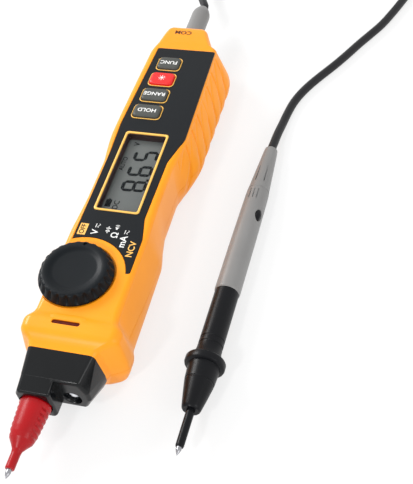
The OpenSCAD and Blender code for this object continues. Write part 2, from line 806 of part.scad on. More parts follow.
// COM jack in its sleeve, and the probe socket in the nose
module com_jack() {
    x = jack_x - lug_w / 2;
    color("gold") {
        difference() {
            rod_y(jack_x, jack_z, tube_r, jack_y0, jack_y1 - socket_end);
            rod_y(jack_x, jack_z, socket_r, jack_y0 + socket_end, com_y);
        }
        block(x, x + lug_w, board_y1 - lug_lap, jack_y0 + fine, board_z - lug_t, board_z);
        block(x, x + lug_w, jack_y0 - lug_t, jack_y0,
              min(jack_z, board_z - lug_t), max(jack_z, board_z));
    }
}
module com_jack_sleeve() {
    color([0.15, 0.15, 0.15]) difference() {
        rod_y(jack_x, jack_z, sleeve_r - fine, jack_y0 + sleeve_set, com_y - fine);
        rod_y(jack_x, jack_z, mouth_r, com_y - plug_in - play, com_y + over);
        rod_y(jack_x, jack_z, tube_r, jack_y0, com_y);
    }
}
module probe_socket() {
    x = probe_x - lug_w / 2;
    color("gold") {
        difference() {
            rod_y(probe_x, probe_z, tube_r, socket_y0, socket_y1);
            rod_y(probe_x, probe_z, socket_r, socket_y0 - over, socket_y1 - socket_end);
        }
        block(x, x + lug_w, socket_y1, board_nose_y + lug_lap, board_z - lug_t, board_z);
        block(x, x + lug_w, socket_y1, socket_y1 + lug_t,
              min(probe_z, board_z - lug_t), max(probe_z, board_z));
    }
}

// Keys and their domes
module key(i, shade) {
    flange_z = key_flange_top - key_flange_t;
    color(shade) {
        raise(key_flange_top - fine, key_top - key_crown) key_rect(i, 0);
        raise(key_top - key_crown, key_top) key_rect(i, -key_crown_in);
        raise(flange_z, key_flange_top) key_rect(i, key_flange);
        rod_z(key_mid(i), key_y(i), stem_r, board_top + dome_h + fine, flange_z + fine);
    }
}
module hold_key() key(0, [0.3, 0.32, 0.3]);
module range_key() key(1, [0.3, 0.32, 0.3]);
module light_key() key(2, "red");
module func_key() key(3, [0.3, 0.32, 0.3]);
module dome(i) {
    color([0.85, 0.85, 0.83]) translate([key_mid(i), key_y(i), board_top]) difference() {
        union() {
            cylinder(r1 = dome_foot_r, r2 = dome_top_r, h = dome_h - play);
            cylinder(r = dome_top_r, h = dome_h);
        }
        translate([0, 0, -fine])
            cylinder(r1 = dome_foot_r - dome_t, r2 = dome_top_r - dome_t, h = dome_h - dome_t);
    }
}
module hold_dome() dome(0);
module range_dome() dome(1);
module light_dome() dome(2);
module func_dome() dome(3);

// Knob, and the rotor that its shaft drives
knob_taper = 1.5;
knob_skirt_t = 1;
knob_dish = 0.7;
knob_lip = 1.2;
knob_lip_slope = 1.2;
flute_r = 0.9;
flute_out = 0.3;
mark_r = 0.8;
mark_depth = 0.9;
wiper_t = 0.2;
wiper_len = 3.2;
knob_rim_r = knob_r - knob_taper;
knob_dish_r = knob_rim_r - knob_lip;
module knob() {
    color([0.15, 0.15, 0.16]) difference() {
        union() {
            rod_z(knob_x, knob_y, knob_r, knob_z, knob_z + knob_skirt_t);
            translate([knob_x, knob_y, knob_z + knob_skirt_t])
                cylinder(r1 = knob_r, r2 = knob_rim_r, h = knob_top - knob_z - knob_skirt_t);
            rod_z(knob_x, knob_y, shaft_r, rotor_z, knob_z + fine);
        }
        translate([knob_x, knob_y, knob_top - knob_dish])
            cylinder(r1 = knob_dish_r - knob_lip_slope, r2 = knob_dish_r, h = knob_dish + fine);
        for (i = [0:flutes - 1]) rotate_knob(knob_rest + (i + 0.5) * 360 / flutes)
            rod_z(knob_r + flute_out, 0, flute_r, knob_z + knob_skirt_t - fine, knob_top + over);
        rotate_knob(knob_rest) rod_z(knob_rim_r, 0, mark_r, knob_top - mark_depth, knob_top + over);
    }
}
module switch_rotor() {
    color([0.9, 0.9, 0.88]) difference() {
        rod_z(knob_x, knob_y, rotor_r, rotor_z, rotor_top);
        rod_z(knob_x, knob_y, shaft_r, rotor_z - over, rotor_top + over);
        for (side = [0, 180]) rotate_knob(knob_rest + side)
            translate([shaft_r + 2 * play, 0, detent_z])
                rotate([0, 90, 0]) cylinder(r = ball_r + fine, h = rotor_r);
    }
}
ball_at = detent_wall_r - ball_r - ball_gap;
detent_spring_x = shaft_r + 2 * play + fine;
detent_spring_r = 0.6;
detent_wire = 0.25;
detent_turns = 3;
module detent_balls() {
    color("silver") for (side = [0, 180]) rotate_knob(knob_rest + side)
        translate([ball_at, 0, detent_z]) sphere(r = ball_r, $fn = round_fn);
}
module detent_springs() {
    color("silver") for (side = [0, 180]) rotate_knob(knob_rest + side)
        translate([detent_spring_x, 0, detent_z]) rotate([0, 90, 0])
            helix(detent_spring_r, detent_spring_r, ball_at - ball_r - ball_gap - detent_spring_x,
                  detent_turns, detent_wire);
}
module wiper_contacts() {
    color("gold") for (r = track_radii) rotate_knob(knob_rest + 90) {
        block(r, r + track_w, -wiper_len / 2, wiper_len / 2, rotor_z - wiper_t, rotor_z);
        for (y = [-wiper_len / 2, wiper_len / 2 - 2 * wiper_t])
            block(r, r + track_w, y, y + 2 * wiper_t, board_top + track_t + fine, rotor_z - wiper_t);
    }
}

// Red probe, turned about its axis: places from the nose face and radii
probe_neck = 11.5;
probe_cone = 17;
probe_bare = 3.2;
probe_neck_r = 4.5;
probe_sleeve_r = 1.55;
probe_step = 0.3;
point_len = 1.6;
pin_tip = 1;
pin_tip_r = 1.15;
ribs = 5;
rib_pitch = 1.9;
rib_first = 2;
rib_t = 0.9;
rib_depth = 0.7;
rib_half = 2.6;
rib_lean = 8;
probe_neck_y = nose_y - probe_neck;
probe_cone_y = nose_y - probe_cone;
probe_sleeve_y = tip_y + probe_bare;
module turned_y(x, z, profile) {
    translate([x, 0, z]) rotate([-90, 0, 0]) rotate_extrude() polygon([for (p = profile) [p[1], p[0]]]);
}
module probe_body() {
    y_in = nose_y + probe_in;
    color([0.8, 0.1, 0.12]) difference() {
        turned_y(probe_x, probe_z, [
            [y_in, 0], [y_in, probe_r - probe_step], [nose_y, probe_r - probe_step], [nose_y, probe_r],
            [probe_neck_y, probe_neck_r], [probe_cone_y, probe_sleeve_r],
            [probe_sleeve_y, probe_sleeve_r], [probe_sleeve_y, 0]]);
        rod_y(probe_x, probe_z, needle_r, tip_y - over, y_in - pin_tip);
        for (i = [0:ribs - 1])
            translate([probe_x + probe_r, nose_y - rib_first - i * rib_pitch, probe_z])
                rotate([0, 0, rib_lean]) block(-rib_depth, over, -rib_t / 2, rib_t / 2, -rib_half, rib_half);
    }
}
module probe_needle() {
    y_in = nose_y + probe_in - pin_tip;
    color("silver") turned_y(probe_x, probe_z, [
        [y_in, 0], [y_in, needle_r], [tip_y + point_len, needle_r], [tip_y, 0]]);
}
module probe_pin() {
    y0 = nose_y + probe_in;
    y1 = socket_y1 - 2 * socket_end;
    color("silver") turned_y(probe_x, probe_z, [
        [y0, 0], [y0, pin_r], [y1 - pin_tip, pin_r], [y1, pin_tip_r], [y1, 0]]);
}

// Test lead: the plug, from its mouth to the cord
plug_end_y = com_y + plug_len;
plug_neck_r = 2.6;
plug_round_r = 3.4;
plug_neck_step = 3.1;
plug_shoulder = 5;
plug_round = 2.4;
plug_lip = 0.7;
module plug_body() {
    y0 = com_y - plug_in;
    color([0.55, 0.55, 0.56]) difference() {
        turned_y(jack_x, jack_z, [
            [y0, 0], [y0, plug_r], [plug_end_y - plug_shoulder, plug_r],
            [plug_end_y - plug_round, plug_round_r], [plug_end_y - plug_lip, plug_neck_step],
            [plug_end_y, plug_neck_r], [plug_end_y, 0]]);
        rod_y(jack_x, jack_z, tube_r + shroud_gap, y0 - over, com_y - plug_wall);
    }
}
module plug_pin() {
    y0 = jack_y0 + 2 * socket_end;
    y1 = com_y - plug_wall;
    color("silver") turned_y(jack_x, jack_z, [
        [y0, 0], [y0, pin_tip_r], [y0 + pin_tip, pin_r], [y1, pin_r], [y1, 0]]);
}

// Test lead: the pen, turned about its own axis from the cord end and laid on the table.
// Its guard disc holds the front up.
pen_rear_x = 43.3;
pen_rear_y = 55.2;
pen_rear_z = 3.9;
pen_rear = [pen_rear_x, pen_rear_y, pen_rear_z];
pen_pitch = 1.75;
pen_yaw = -0.5;
pen_rear_r = 2.6;
pen_taper = 24.4;
pen_grip_end = 75;
pen_groove = 0.2;
pen_front_in = 0.3;
pen_guard_at = 104.2;
pen_guard_t = 2.6;
pen_guard_step = 1.4;
pen_guard_foot = 3;
pen_nose_r = 5.5;
pen_cone_at = 123.3;
pen_cone_r = 3.2;
pen_sleeve_r = 1.45;
pen_sleeve_in = 6;
pen_root_r = 1.2;
pen_bare = 2.9;
pen_hole_at = 39;
pen_hole_r = 0.8;
pen_hole = 2;
pen_sleeve_end = pen_len - pen_bare;
module pen_place() {
    translate(pen_rear) rotate([90 - pen_pitch, 0, pen_yaw]) children();
}
module turned(profile) {
    rotate_extrude() polygon([for (p = profile) [p[1], p[0]]]);
}
module pen_grip() {
    color([0.55, 0.55, 0.56]) pen_place() difference() {
        turned([
            [0, 0], [0, pen_rear_r], [pen_taper, pen_r - pen_groove], [pen_taper, pen_r],
            [pen_grip_end, pen_r], [pen_grip_end, 0]]);
        translate([0, pen_r, pen_hole_at]) rotate([90, 0, 0]) cylinder(r = pen_hole_r, h = pen_hole);
    }
}
module pen_body() {
    back = pen_guard_at - pen_guard_foot;
    front = pen_guard_at + pen_guard_t;
    color([0.12, 0.12, 0.13]) pen_place() difference() {
        turned([
            [pen_grip_end, 0], [pen_grip_end, pen_r - pen_front_in], [back, pen_r - pen_front_in / 3],
            [pen_guard_at - over, pen_guard_r - pen_guard_step], [pen_guard_at, pen_guard_r],
            [front, pen_guard_r], [front, pen_nose_r], [pen_cone_at, pen_cone_r], [pen_cone_at, 0]]);
        translate([0, 0, pen_cone_at - pen_sleeve_in]) cylinder(r = pen_root_r, h = pen_sleeve_in + over);
    }
}
module pen_tip_sleeve() {
    back = pen_cone_at - pen_sleeve_in;
    color([0.1, 0.1, 0.1]) pen_place() difference() {
        turned([[back, 0], [back, pen_root_r], [pen_cone_at, pen_root_r], [pen_cone_at, pen_sleeve_r],
                [pen_sleeve_end, pen_sleeve_r], [pen_sleeve_end, 0]]);
        translate([0, 0, back - over]) cylinder(r = needle_r, h = pen_len);
    }
}
module pen_needle() {
    back = pen_cone_at - pen_sleeve_in;
    color("silver") pen_place() turned([
        [back, 0], [back, needle_r], [pen_len - point_len, needle_r], [pen_len, 0]]);
}

// Test lead: cord, two free stretches and the coil between them
cord_r = cord_d / 2;
coil_x = 64.5;
coil_y = 205;
coil_gap = 0.5;
coil_step = cord_d + coil_gap;
coil_ring_steps = 24;
cord_sides = 8;
coil_sides = 6;
route_plug = [[-6.4, 140, 12.4], [-9, 147.5, 9.6], [-9.6, 155, 6], [-7.6, 162.5, 3.4], [-3.6, 169.5, 2.1],
              [1.6, 176, 1.8], [8, 181.5, 1.8], [15, 185.2, 1.8], [22.5, 187.6, 1.8], [29.5, 190, 1.8],
              [35.2, 194, 1.8], [38.6, 198.6, 1.8]];
route_pen = [[43.5, 60, 3.6], [43.8, 66, 3], [44.4, 73, 2.1], [45.2, 80, 1.8], [46.5, 87, 1.8],
             [48.7, 93.5, 1.8], [51.8, 100, 1.8], [55.6, 106.6, 1.8], [59.8, 113.5, 1.8],
             [64.2, 121.5, 1.8], [68.6, 130, 1.8], [72.8, 137.5, 1.8], [76.8, 145, 1.8], [80.4, 154, 1.8],
             [83.6, 163, 1.8], [86.2, 171, 1.9], [88.3, 180, 2.6], [89.3, 188, 4.2], [89.5, 195, 5.5]];

// Rings of a round tube along a route, square to it at both ends
function unit(v) = v / norm(v);
function heading(route, j) = unit(route[min(j + 1, len(route) - 1)] - route[max(j - 1, 0)]);
function tube_ring(p, t, r, n) =
    let (side = unit(cross(t, [0, 0, 1])), up = cross(side, t))
    [for (i = [0:n - 1]) p + r * cos(360 * i / n) * side + r * sin(360 * i / n) * up];
module tube(route, start_dir, end_dir, r, n) {
    m = len(route);
    skin([for (j = [0:m - 1])
        tube_ring(route[j], j == 0 ? start_dir : j == m - 1 ? end_dir : heading(route, j), r, n)]);
}

// The coil turns clockwise seen from above: in on the lower layer, up and out again on the upper one
coil_layer = cord_d + coil_gap;
function coil_spin(s) = s * coil_turns;
function coil_rad(s) = coil_r - coil_step * (coil_turns / 2 - abs(coil_spin(s) - coil_turns / 2));
function coil_lift(s) = cord_r + coil_layer * min(1, max(0, (coil_spin(s) - coil_turns / 2) * 2 + 0.5));
function coil_point(s) =
    let (a = 180 - 360 * coil_spin(s))
    [coil_x + coil_rad(s) * cos(a), coil_y + coil_rad(s) * sin(a), coil_lift(s)];
coil_count = round(coil_turns * coil_ring_steps);
coil_route = concat(
    [[coil_x - coil_r, coil_y - cord_d, cord_r]],
    [for (j = [0:coil_count]) coil_point(j / coil_count)],
    [[coil_x + coil_r, coil_y - cord_d, cord_r + coil_layer]]);
coil_clear = min([for (i = [0:len(coil_route) - 1], j = [i + 12:1:len(coil_route) - 1])
    norm(coil_route[i] - coil_route[j])]) - cord_d;
function route_len(r) = [for (i = [1:len(r) - 1]) norm(r[i] - r[i - 1])] * [for (i = [1:len(r) - 1]) 1];
pen_axis = [sin(pen_yaw) * cos(pen_pitch), -cos(pen_yaw) * cos(pen_pitch), sin(pen_pitch)];
full_plug_route = concat([[jack_x, plug_end_y, jack_z]], route_plug, [coil_route[0]]);
full_pen_route = concat([pen_rear], route_pen, [coil_route[len(coil_route) - 1]]);
echo(coil_least_gap = coil_clear);
echo(cord_length = route_len(full_plug_route) + route_len(coil_route) + route_len(full_pen_route));

module lead_at_plug() {
    color([0.08, 0.08, 0.08]) tube(full_plug_route, [0, 1, 0], [0, 1, 0], cord_r, cord_sides);
}
module lead_coil() {
    color([0.08, 0.08, 0.08]) tube(coil_route, [0, 1, 0], [0, -1, 0], cord_r, coil_sides);
}
module lead_at_pen() {
    color([0.08, 0.08, 0.08]) tube(full_pen_route, -pen_axis, [0, 1, 0], cord_r, cord_sides);
}

upper_case();
lower_case();
nose_cap();
faceplate();
lcd_bezel();
lcd_window();
lcd_glass();
backlight_panel();
zebra_strips();
main_board();
switch_tracks();
circuit_packages();
fuse();
fuse_clips();
buzzer();
cell_left();
cell_right();
battery_springs();
battery_plates();
case_screws();
board_screws();
com_jack();
com_jack_sleeve();
probe_socket();
torch_led();
alarm_window();
alarm_led();
sensing_plate();
door_insert();
hold_dome();
range_dome();
light_dome();
func_dome();
hold_key();
range_key();
light_key();
func_key();
knob();
switch_rotor();
wiper_contacts();
detent_springs();
detent_balls();
battery_door();
door_screw();
probe_body();
probe_needle();
probe_pin();
plug_body();
plug_pin();
lead_at_plug();
lead_coil();
lead_at_pen();
pen_grip();
pen_body();
pen_tip_sleeve();
pen_needle();
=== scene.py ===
"""Looks of the pen multimeter and its test lead. Lengths are millimetres until a mesh is made."""
import math

import bmesh
import bpy
from mathutils import Matrix, Vector


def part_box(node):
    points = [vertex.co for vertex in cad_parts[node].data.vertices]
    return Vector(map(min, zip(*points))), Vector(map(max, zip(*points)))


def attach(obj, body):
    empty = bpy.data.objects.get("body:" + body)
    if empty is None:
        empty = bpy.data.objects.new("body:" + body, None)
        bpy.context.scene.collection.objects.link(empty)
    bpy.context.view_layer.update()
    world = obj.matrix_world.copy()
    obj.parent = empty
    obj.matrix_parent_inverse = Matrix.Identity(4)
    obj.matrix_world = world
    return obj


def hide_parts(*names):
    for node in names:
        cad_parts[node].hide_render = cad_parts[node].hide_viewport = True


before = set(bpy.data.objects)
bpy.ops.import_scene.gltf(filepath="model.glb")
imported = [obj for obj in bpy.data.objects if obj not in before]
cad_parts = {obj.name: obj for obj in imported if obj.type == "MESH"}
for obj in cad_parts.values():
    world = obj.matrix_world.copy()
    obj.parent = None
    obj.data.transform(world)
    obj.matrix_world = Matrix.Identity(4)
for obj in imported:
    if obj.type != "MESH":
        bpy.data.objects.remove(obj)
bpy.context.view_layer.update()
MM = 0.001


def mm_box(node):
    """Lowest and highest corner of a node at rest, in millimetres."""
    low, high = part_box(node)
    return Vector(low) / MM, Vector(high) / MM


def mm_middle(node):
    low, high = mm_box(node)
    return (low + high) / 2


def new_object(name, data):
    obj = bpy.data.objects.new(name, data)
    bpy.context.collection.objects.link(obj)
    return obj


# Camera, fitted to the photograph: turn, tilt, roll, what it looks at, distance and focal length
PHOTO_H = 484
FOCAL_PX = 900
SENSOR = 36
CAM_TURN = math.radians(21.0233)
CAM_TILT = math.radians(49.8039)
CAM_ROLL = math.radians(-8.9729)
CAM_TARGET = Vector((27.788, 7.058, 0))
CAM_FAR = 342.601


def make_camera():
    level = math.cos(CAM_TILT)
    back = Vector((math.sin(CAM_TURN) * level, -math.cos(CAM_TURN) * level, math.sin(CAM_TILT)))
    right = (-back).cross(Vector((0, 0, 1))).normalized()
    up = right.cross(-back)
    side = right * math.cos(CAM_ROLL) + up * math.sin(CAM_ROLL)
    top = up * math.cos(CAM_ROLL) - right * math.sin(CAM_ROLL)
    data = bpy.data.cameras.new("camera")
    data.sensor_width = data.sensor_height = SENSOR
    data.lens = FOCAL_PX * SENSOR / PHOTO_H
    data.clip_start = 0.01
    camera = new_object("camera", data)
    turn = Matrix((side, top, back)).transposed()
    camera.matrix_world = Matrix.Translation((CAM_TARGET + back * CAM_FAR) * MM) @ turn.to_4x4()
    bpy.context.scene.camera = camera


make_camera()


# Materials
GRAIN_RISE = 0.0002


def linear(level):
    """A display level, 0 to 255, as the renderer's linear one."""
    c = level / 255
    return c / 12.92 if c <= 0.04045 else ((c + 0.055) / 1.055) ** 2.4


def link(tree, a, b):
    tree.links.new(a, b)


def add_node(tree, kind, **values):
    """A shader node with its inputs set; an underscore stands for a space in an input's name."""
    node = tree.nodes.new("ShaderNode" + kind)
    for name, value in values.items():
        node.inputs[name.replace("_", " ")].default_value = value
    return node


def noise(tree, coords, scale, detail=3.0):
    node = add_node(tree, "TexNoise", Scale=scale, Detail=detail)
    link(tree, coords.outputs["Object"], node.inputs["Vector"])
    return node


def finish(name, colour, rough, grain, bump, vary, specular=0.5, metal=0.0, coat=0.0, blotch=60, rough_vary=0.06):
    """Moulded plastic, rubber or metal: fine grain, slight colour drift and uneven gloss."""
    mat = bpy.data.materials.new(name)
    mat.use_nodes = True
    tree = mat.node_tree
    shader = tree.nodes["Principled BSDF"]
    values = {"Metallic": metal, "Specular IOR Level": specular, "Coat Weight": coat, "Coat Roughness": 0.15}
    for socket, value in values.items():
        shader.inputs[socket].default_value = value
    coords = add_node(tree, "TexCoord")
    drift = noise(tree, coords, blotch)
    ramp = add_node(tree, "ValToRGB")
    ends = ramp.color_ramp.elements
    for end, place, share in ((ends[0], 0.35, 1 - vary), (ends[1], 0.65, 1 + vary)):
        end.position = place
        end.color = [min(1, linear(c) * share) for c in colour] + [1]
    link(tree, drift.outputs["Fac"], ramp.inputs["Fac"])
    link(tree, ramp.outputs["Color"], shader.inputs["Base Color"])
    fine = noise(tree, coords, grain, 2.0)
    gloss = add_node(tree, "MapRange", To_Min=max(0.02, rough - rough_vary), To_Max=min(1, rough + rough_vary))
    link(tree, fine.outputs["Fac"], gloss.inputs["Value"])
    link(tree, gloss.outputs["Result"], shader.inputs["Roughness"])
    if bump:
        relief = add_node(tree, "Bump", Strength=bump, Distance=GRAIN_RISE)
        link(tree, fine.outputs["Fac"], relief.inputs["Height"])
        link(tree, relief.outputs["Normal"], shader.inputs["Normal"])
    return mat


# Each finish: name, display colour, roughness, grain, bump, colour drift and shine
ORANGE = finish("orange_plastic", (255, 156, 14), 0.36, 1600, 0.05, 0.03, 0.35)
# Lighter orange for the raised rims round the display and keys: a painted highlight on their edges, not a second
# plastic
ORANGE_PAINTED_HIGHLIGHT = finish("orange_painted_highlight", (255, 196, 92), 0.3, 1600, 0.04, 0.03)
BLACK = finish("black_plastic", (12, 14, 16), 0.24, 1800, 0.03, 0.15, 0.18, coat=0.16)
PLATE = finish("faceplate_film", (15, 19, 23), 0.32, 2600, 0.03, 0.08, 0.2)
KNOB = finish("knob_plastic", (12, 17, 21), 0.4, 2000, 0.06, 0.12, 0.14)
KEY_GREY = finish("key_rubber_grey", (70, 72, 69), 0.45, 2200, 0.05, 0.07, 0.3)
KEY_RED = finish("key_rubber_red", (226, 22, 22), 0.4, 2200, 0.05, 0.05)
RED = finish("probe_plastic_red", (166, 4, 14), 0.35, 1500, 0.05, 0.1, 0.28)
GREY = finish("grip_plastic_grey", (126, 125, 124), 0.42, 1700, 0.06, 0.04)
PEN = finish("pen_plastic_black", (12, 13, 16), 0.36, 1500, 0.05, 0.15, 0.16)
CORD = finish("cord_rubber", (20, 20, 23), 0.42, 1200, 0.06, 0.15, 0.3)
STEEL = finish("nickel_steel", (158, 158, 162), 0.26, 2500, 0.03, 0.05, metal=1.0)
GOLD = finish("gold_plate", (226, 186, 96), 0.28, 2500, 0.03, 0.05, metal=1.0)
BRASS = finish("brass_sheet", (196, 160, 90), 0.35, 1500, 0.04, 0.08, metal=1.0)
COPPER = finish("copper_foil", (198, 120, 82), 0.32, 1500, 0.04, 0.08, metal=1.0)
SCREW = finish("blackened_steel", (60, 60, 64), 0.35, 2000, 0.05, 0.1, metal=1.0)
BOARD = finish("solder_mask", (28, 98, 52), 0.3, 900, 0.04, 0.18, coat=0.3, blotch=300)
CHIP = finish("chip_resin", (38, 38, 41), 0.55, 3000, 0.1, 0.1)
WHITE = finish("white_nylon", (224, 224, 219), 0.4, 1600, 0.04, 0.03)
RUBBER = finish("dome_silicone", (208, 208, 203), 0.5, 1600, 0.04, 0.03)
ZEBRA = finish("strip_rubber", (214, 170, 178), 0.55, 3000, 0.08, 0.2, blotch=3000)
CELL = finish("cell_jacket", (186, 188, 194), 0.28, 800, 0.02, 0.03, metal=0.6)
CERAMIC = finish("fuse_ceramic", (222, 222, 214), 0.3, 1200, 0.03, 0.03)
GUIDE = finish("light_guide", (222, 228, 224), 0.18, 1200, 0.02, 0.03)
LCD = finish("display_glass", (104, 108, 106), 0.3, 3000, 0.02, 0.05, blotch=40)
LCD_INK = finish("display_segments", (10, 12, 14), 0.5, 3000, 0.0, 0.1, 0.1)
# Dark bezel of the display's recess; its reddish tint is a painted reflection of the orange case on the inner walls
BEZEL_DARK_AND_REFLECTION = finish("display_recess_dark_and_reflection", (44, 26, 26), 0.4, 1500, 0.05, 0.2)
SLOT = finish("alarm_lens", (84, 22, 12), 0.35, 1500, 0.02, 0.3, blotch=500, specular=0.12)
RED_LED = finish("red_led", (210, 60, 46), 0.2, 1500, 0.0, 0.05)
LED = finish("torch_lens", (226, 230, 236), 0.06, 1500, 0.0, 0.03, coat=1.0)
PRINT = finish("legend_white", (236, 236, 234), 0.45, 2500, 0.0, 0.02)
PRINT_ORANGE = finish("legend_orange", (250, 190, 90), 0.45, 2500, 0.0, 0.03)
PRINT_DARK = finish("legend_dark", (96, 48, 12), 0.5, 2500, 0.0, 0.05)
# Thin clear plastic that shows what lies under it
WINDOW = finish("display_window", (70, 76, 80), 0.04, 900, 0.0, 0.02, rough_vary=0.01, specular=0.12)
WINDOW.node_tree.nodes["Principled BSDF"].inputs["Alpha"].default_value = 0.06


# Mesh helpers
def make_object(name, verts, faces):
    mesh = bpy.data.meshes.new(name)
    mesh.from_pydata([tuple(c * MM for c in p) for p in verts], [], faces)
    shape = bmesh.new()
    shape.from_mesh(mesh)
    bmesh.ops.recalc_face_normals(shape, faces=shape.faces)
    shape.to_mesh(mesh)
    shape.free()
    return new_object(name, mesh)


def evaluated_mesh(obj):
    return bpy.data.meshes.new_from_object(obj.evaluated_get(bpy.context.evaluated_depsgraph_get()))


def bake(obj):
    mesh = evaluated_mesh(obj)
    obj.modifiers.clear()
    obj.data = mesh


def combine(obj, others, operation="DIFFERENCE"):
    """Cut others from obj, join them to it, or keep what they share."""
    for other in others:
        step = obj.modifiers.new("step", "BOOLEAN")
        step.operation = operation
        step.solver = "MANIFOLD"
        step.object = other
    bake(obj)
    for other in others:
        bpy.data.objects.remove(other)
    return obj


def assign(piece, material, body, node=None):
    """Set a piece's material and body, and hide the construction's node that it stands in for."""
    piece.data.materials.clear()
    piece.data.materials.append(material)
    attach(piece, body)
    if node:
        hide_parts(node)


def settle(piece, material, body, angle=32, node=None):
    """Smooth a piece up to an angle in degrees, then assign it."""
    piece.data.shade_smooth()
    piece.data.set_sharp_from_angle(angle=math.radians(angle))
    weight = piece.modifiers.new("weight", "WEIGHTED_NORMAL")
    weight.keep_sharp = True
    bake(piece)
    assign(piece, material, body, node)


def loft(name, rings):
    """A closed skin through rings of equal count."""
    n = len(rings[0])
    faces = [list(range(n))[::-1]]
    for j in range(len(rings) - 1):
        for i in range(n):
            a, b = j * n + i, j * n + (i + 1) % n
            faces.append([a, b, b + n, a + n])
    faces.append([(len(rings) - 1) * n + i for i in range(n)])
    return make_object(name, [p for ring in rings for p in ring], faces)


def loop_skin(name, rings):
    """A closed frame: rings of equal count joined in a loop."""
    n, total = len(rings[0]), len(rings) * len(rings[0])
    faces = []
    for j in range(len(rings)):
        for i in range(n):
            a, b = j * n + i, j * n + (i + 1) % n
            faces.append([a, b, (b + n) % total, (a + n) % total])
    return make_object(name, [p for ring in rings for p in ring], faces)


def turned(profile, place, segments, wave=None):
    """Rings through (height, radius) points about the Z axis of a placing matrix."""
    rings = []
    for h, r in profile:
        ring = []
        for i in range(segments):
            a = 2 * math.pi * i / segments
            q = wave(a, h, r) if wave else r
            ring.append(place @ Vector((q * math.cos(a), q * math.sin(a), h)))
        rings.append(ring)
    return rings


def lathe(name, profile, place, segments=64, wave=None):
    return loft(name, turned(profile, place, segments, wave))


def rounded_rect(x0, x1, y0, y1, r, steps=6):
    points = []
    for cx, cy, start in ((x1 - r, y1 - r, 0), (x0 + r, y1 - r, 90), (x0 + r, y0 + r, 180), (x1 - r, y0 + r, 270)):
        for i in range(steps + 1):
            x, y = polar(r, start + 90 * i / steps)
            points.append((cx + x, cy + y))
    return points


def grown_rect(low, high, grow, r, steps=6):
    """Rounded rectangle round a box, moved out by grow."""
    return rounded_rect(low.x - grow, high.x + grow, low.y - grow, high.y + grow, r, steps)


def levelled(levels):
    return [[(x, y, z) for x, y in outline] for outline, z in levels]


def prism(name, levels):
    """Stack (outline, height) levels into a solid."""
    return loft(name, levelled(levels))


def flat_piece(name, shapes, material, body):
    """Separate flat polygons as one piece."""
    faces, base = [], 0
    for shape in shapes:
        faces.append(list(range(base, base + len(shape))))
        base += len(shape)
    settle(make_object(name, [p for shape in shapes for p in shape], faces), material, body)


def box_shape(x0, x1, y0, y1):
    return [(x0, y0), (x1, y0), (x1, y1), (x0, y1)]


def polar(r, degrees):
    return r * math.cos(math.radians(degrees)), r * math.sin(math.radians(degrees))


def facing(place, sign=1):
    """Placing matrix whose Z axis runs along the row's Y axis, away from the probe for 1."""
    return Matrix.Translation(place) @ Matrix.Rotation(-sign * math.pi / 2, 4, "X")


def rod(name, start, axis, radius, length, segments=48):
    """A plain bar from a point along y or z, used as a cutter."""
    place = facing(start) if axis == "y" else Matrix.Translation(start)
    return lathe(name, [(0, radius), (length, radius)], place, segments)


def straight(name, outline, z0, z1):
    return prism(name, [(outline, z0), (outline, z1)])


# Case form: the same rows as the construction, drawn with more steps and soft joins
shell_low, shell_high = mm_box("upper_case")
HALF_W = shell_high.x
COLLAR_Y = shell_low.y
COM_Y = shell_high.y
SHELL_LEN = COM_Y - COLLAR_Y
CASE_H = mm_box("faceplate")[1].z
CEILING = mm_box("lcd_window")[1].z
WALL = CASE_H - CEILING
EDGE_R = 2.1
ROW_SHARES = [
    (0, 0.62, 0.69, 0.50, 0.92, 0.12, -0.05), (0.012, 0.65, 0.72, 0.54, 0.945, 0.08, -0.04),
    (0.018, 0.71, 0.80, 0.60, 0.965, 0.04, -0.02), (0.033, 0.90, 0.97, 0.74, 1.02, 0, 0),
    (0.060, 0.91, 0.97, 0.74, 1.03, 0, 0), (0.072, 0.83, 0.93, 0.66, 1.00, 0, 0),
    (0.081, 0.77, 0.90, 0.60, 0.99, 0, 0), (0.102, 0.76, 0.90, 0.60, 1, 0, 0), (0.287, 0.76, 0.89, 0.60, 1, 0, 0),
    (0.341, 0.735, 0.80, 0.57, 1, 0, 0), (0.401, 0.715, 0.725, 0.56, 1, 0, 0), (0.497, 0.715, 0.725, 0.56, 1, 0, 0),
    (0.533, 0.75, 0.83, 0.60, 1, 0, 0), (0.575, 0.79, 0.96, 0.66, 1, 0, 0), (0.599, 0.80, 1.00, 0.68, 1, 0, 0),
    (0.737, 0.78, 1.00, 0.68, 1, 0, 0), (0.856, 0.75, 1.00, 0.68, 1, 0, 0), (0.892, 0.74, 0.99, 0.66, 1, 0, 0),
    (0.916, 0.71, 0.93, 0.62, 1, 0, 0.01), (0.931, 0.62, 0.80, 0.56, 1, 0.02, -0.04),
    (0.964, 0.53, 0.64, 0.46, 0.99, 0.07, -0.09), (0.992, 0.46, 0.54, 0.38, 0.97, 0.11, -0.12),
    (1, 0.43, 0.51, 0.35, 0.945, 0.14, -0.13)]
SPLIT_SHARES = [(-0.05, 0.36), (0.075, 0.36), (0.081, 0.56), (0.27, 0.4), (1.05, 0.4)]
GUARD_BLEND = 0.007
WING_R = 1.2
SIDE_STEPS = 44
SHOULDER_SHARE = 0.45
SKIRT_SHARE = 0.28


def shell_y(share):
    return COLLAR_Y + share * SHELL_LEN


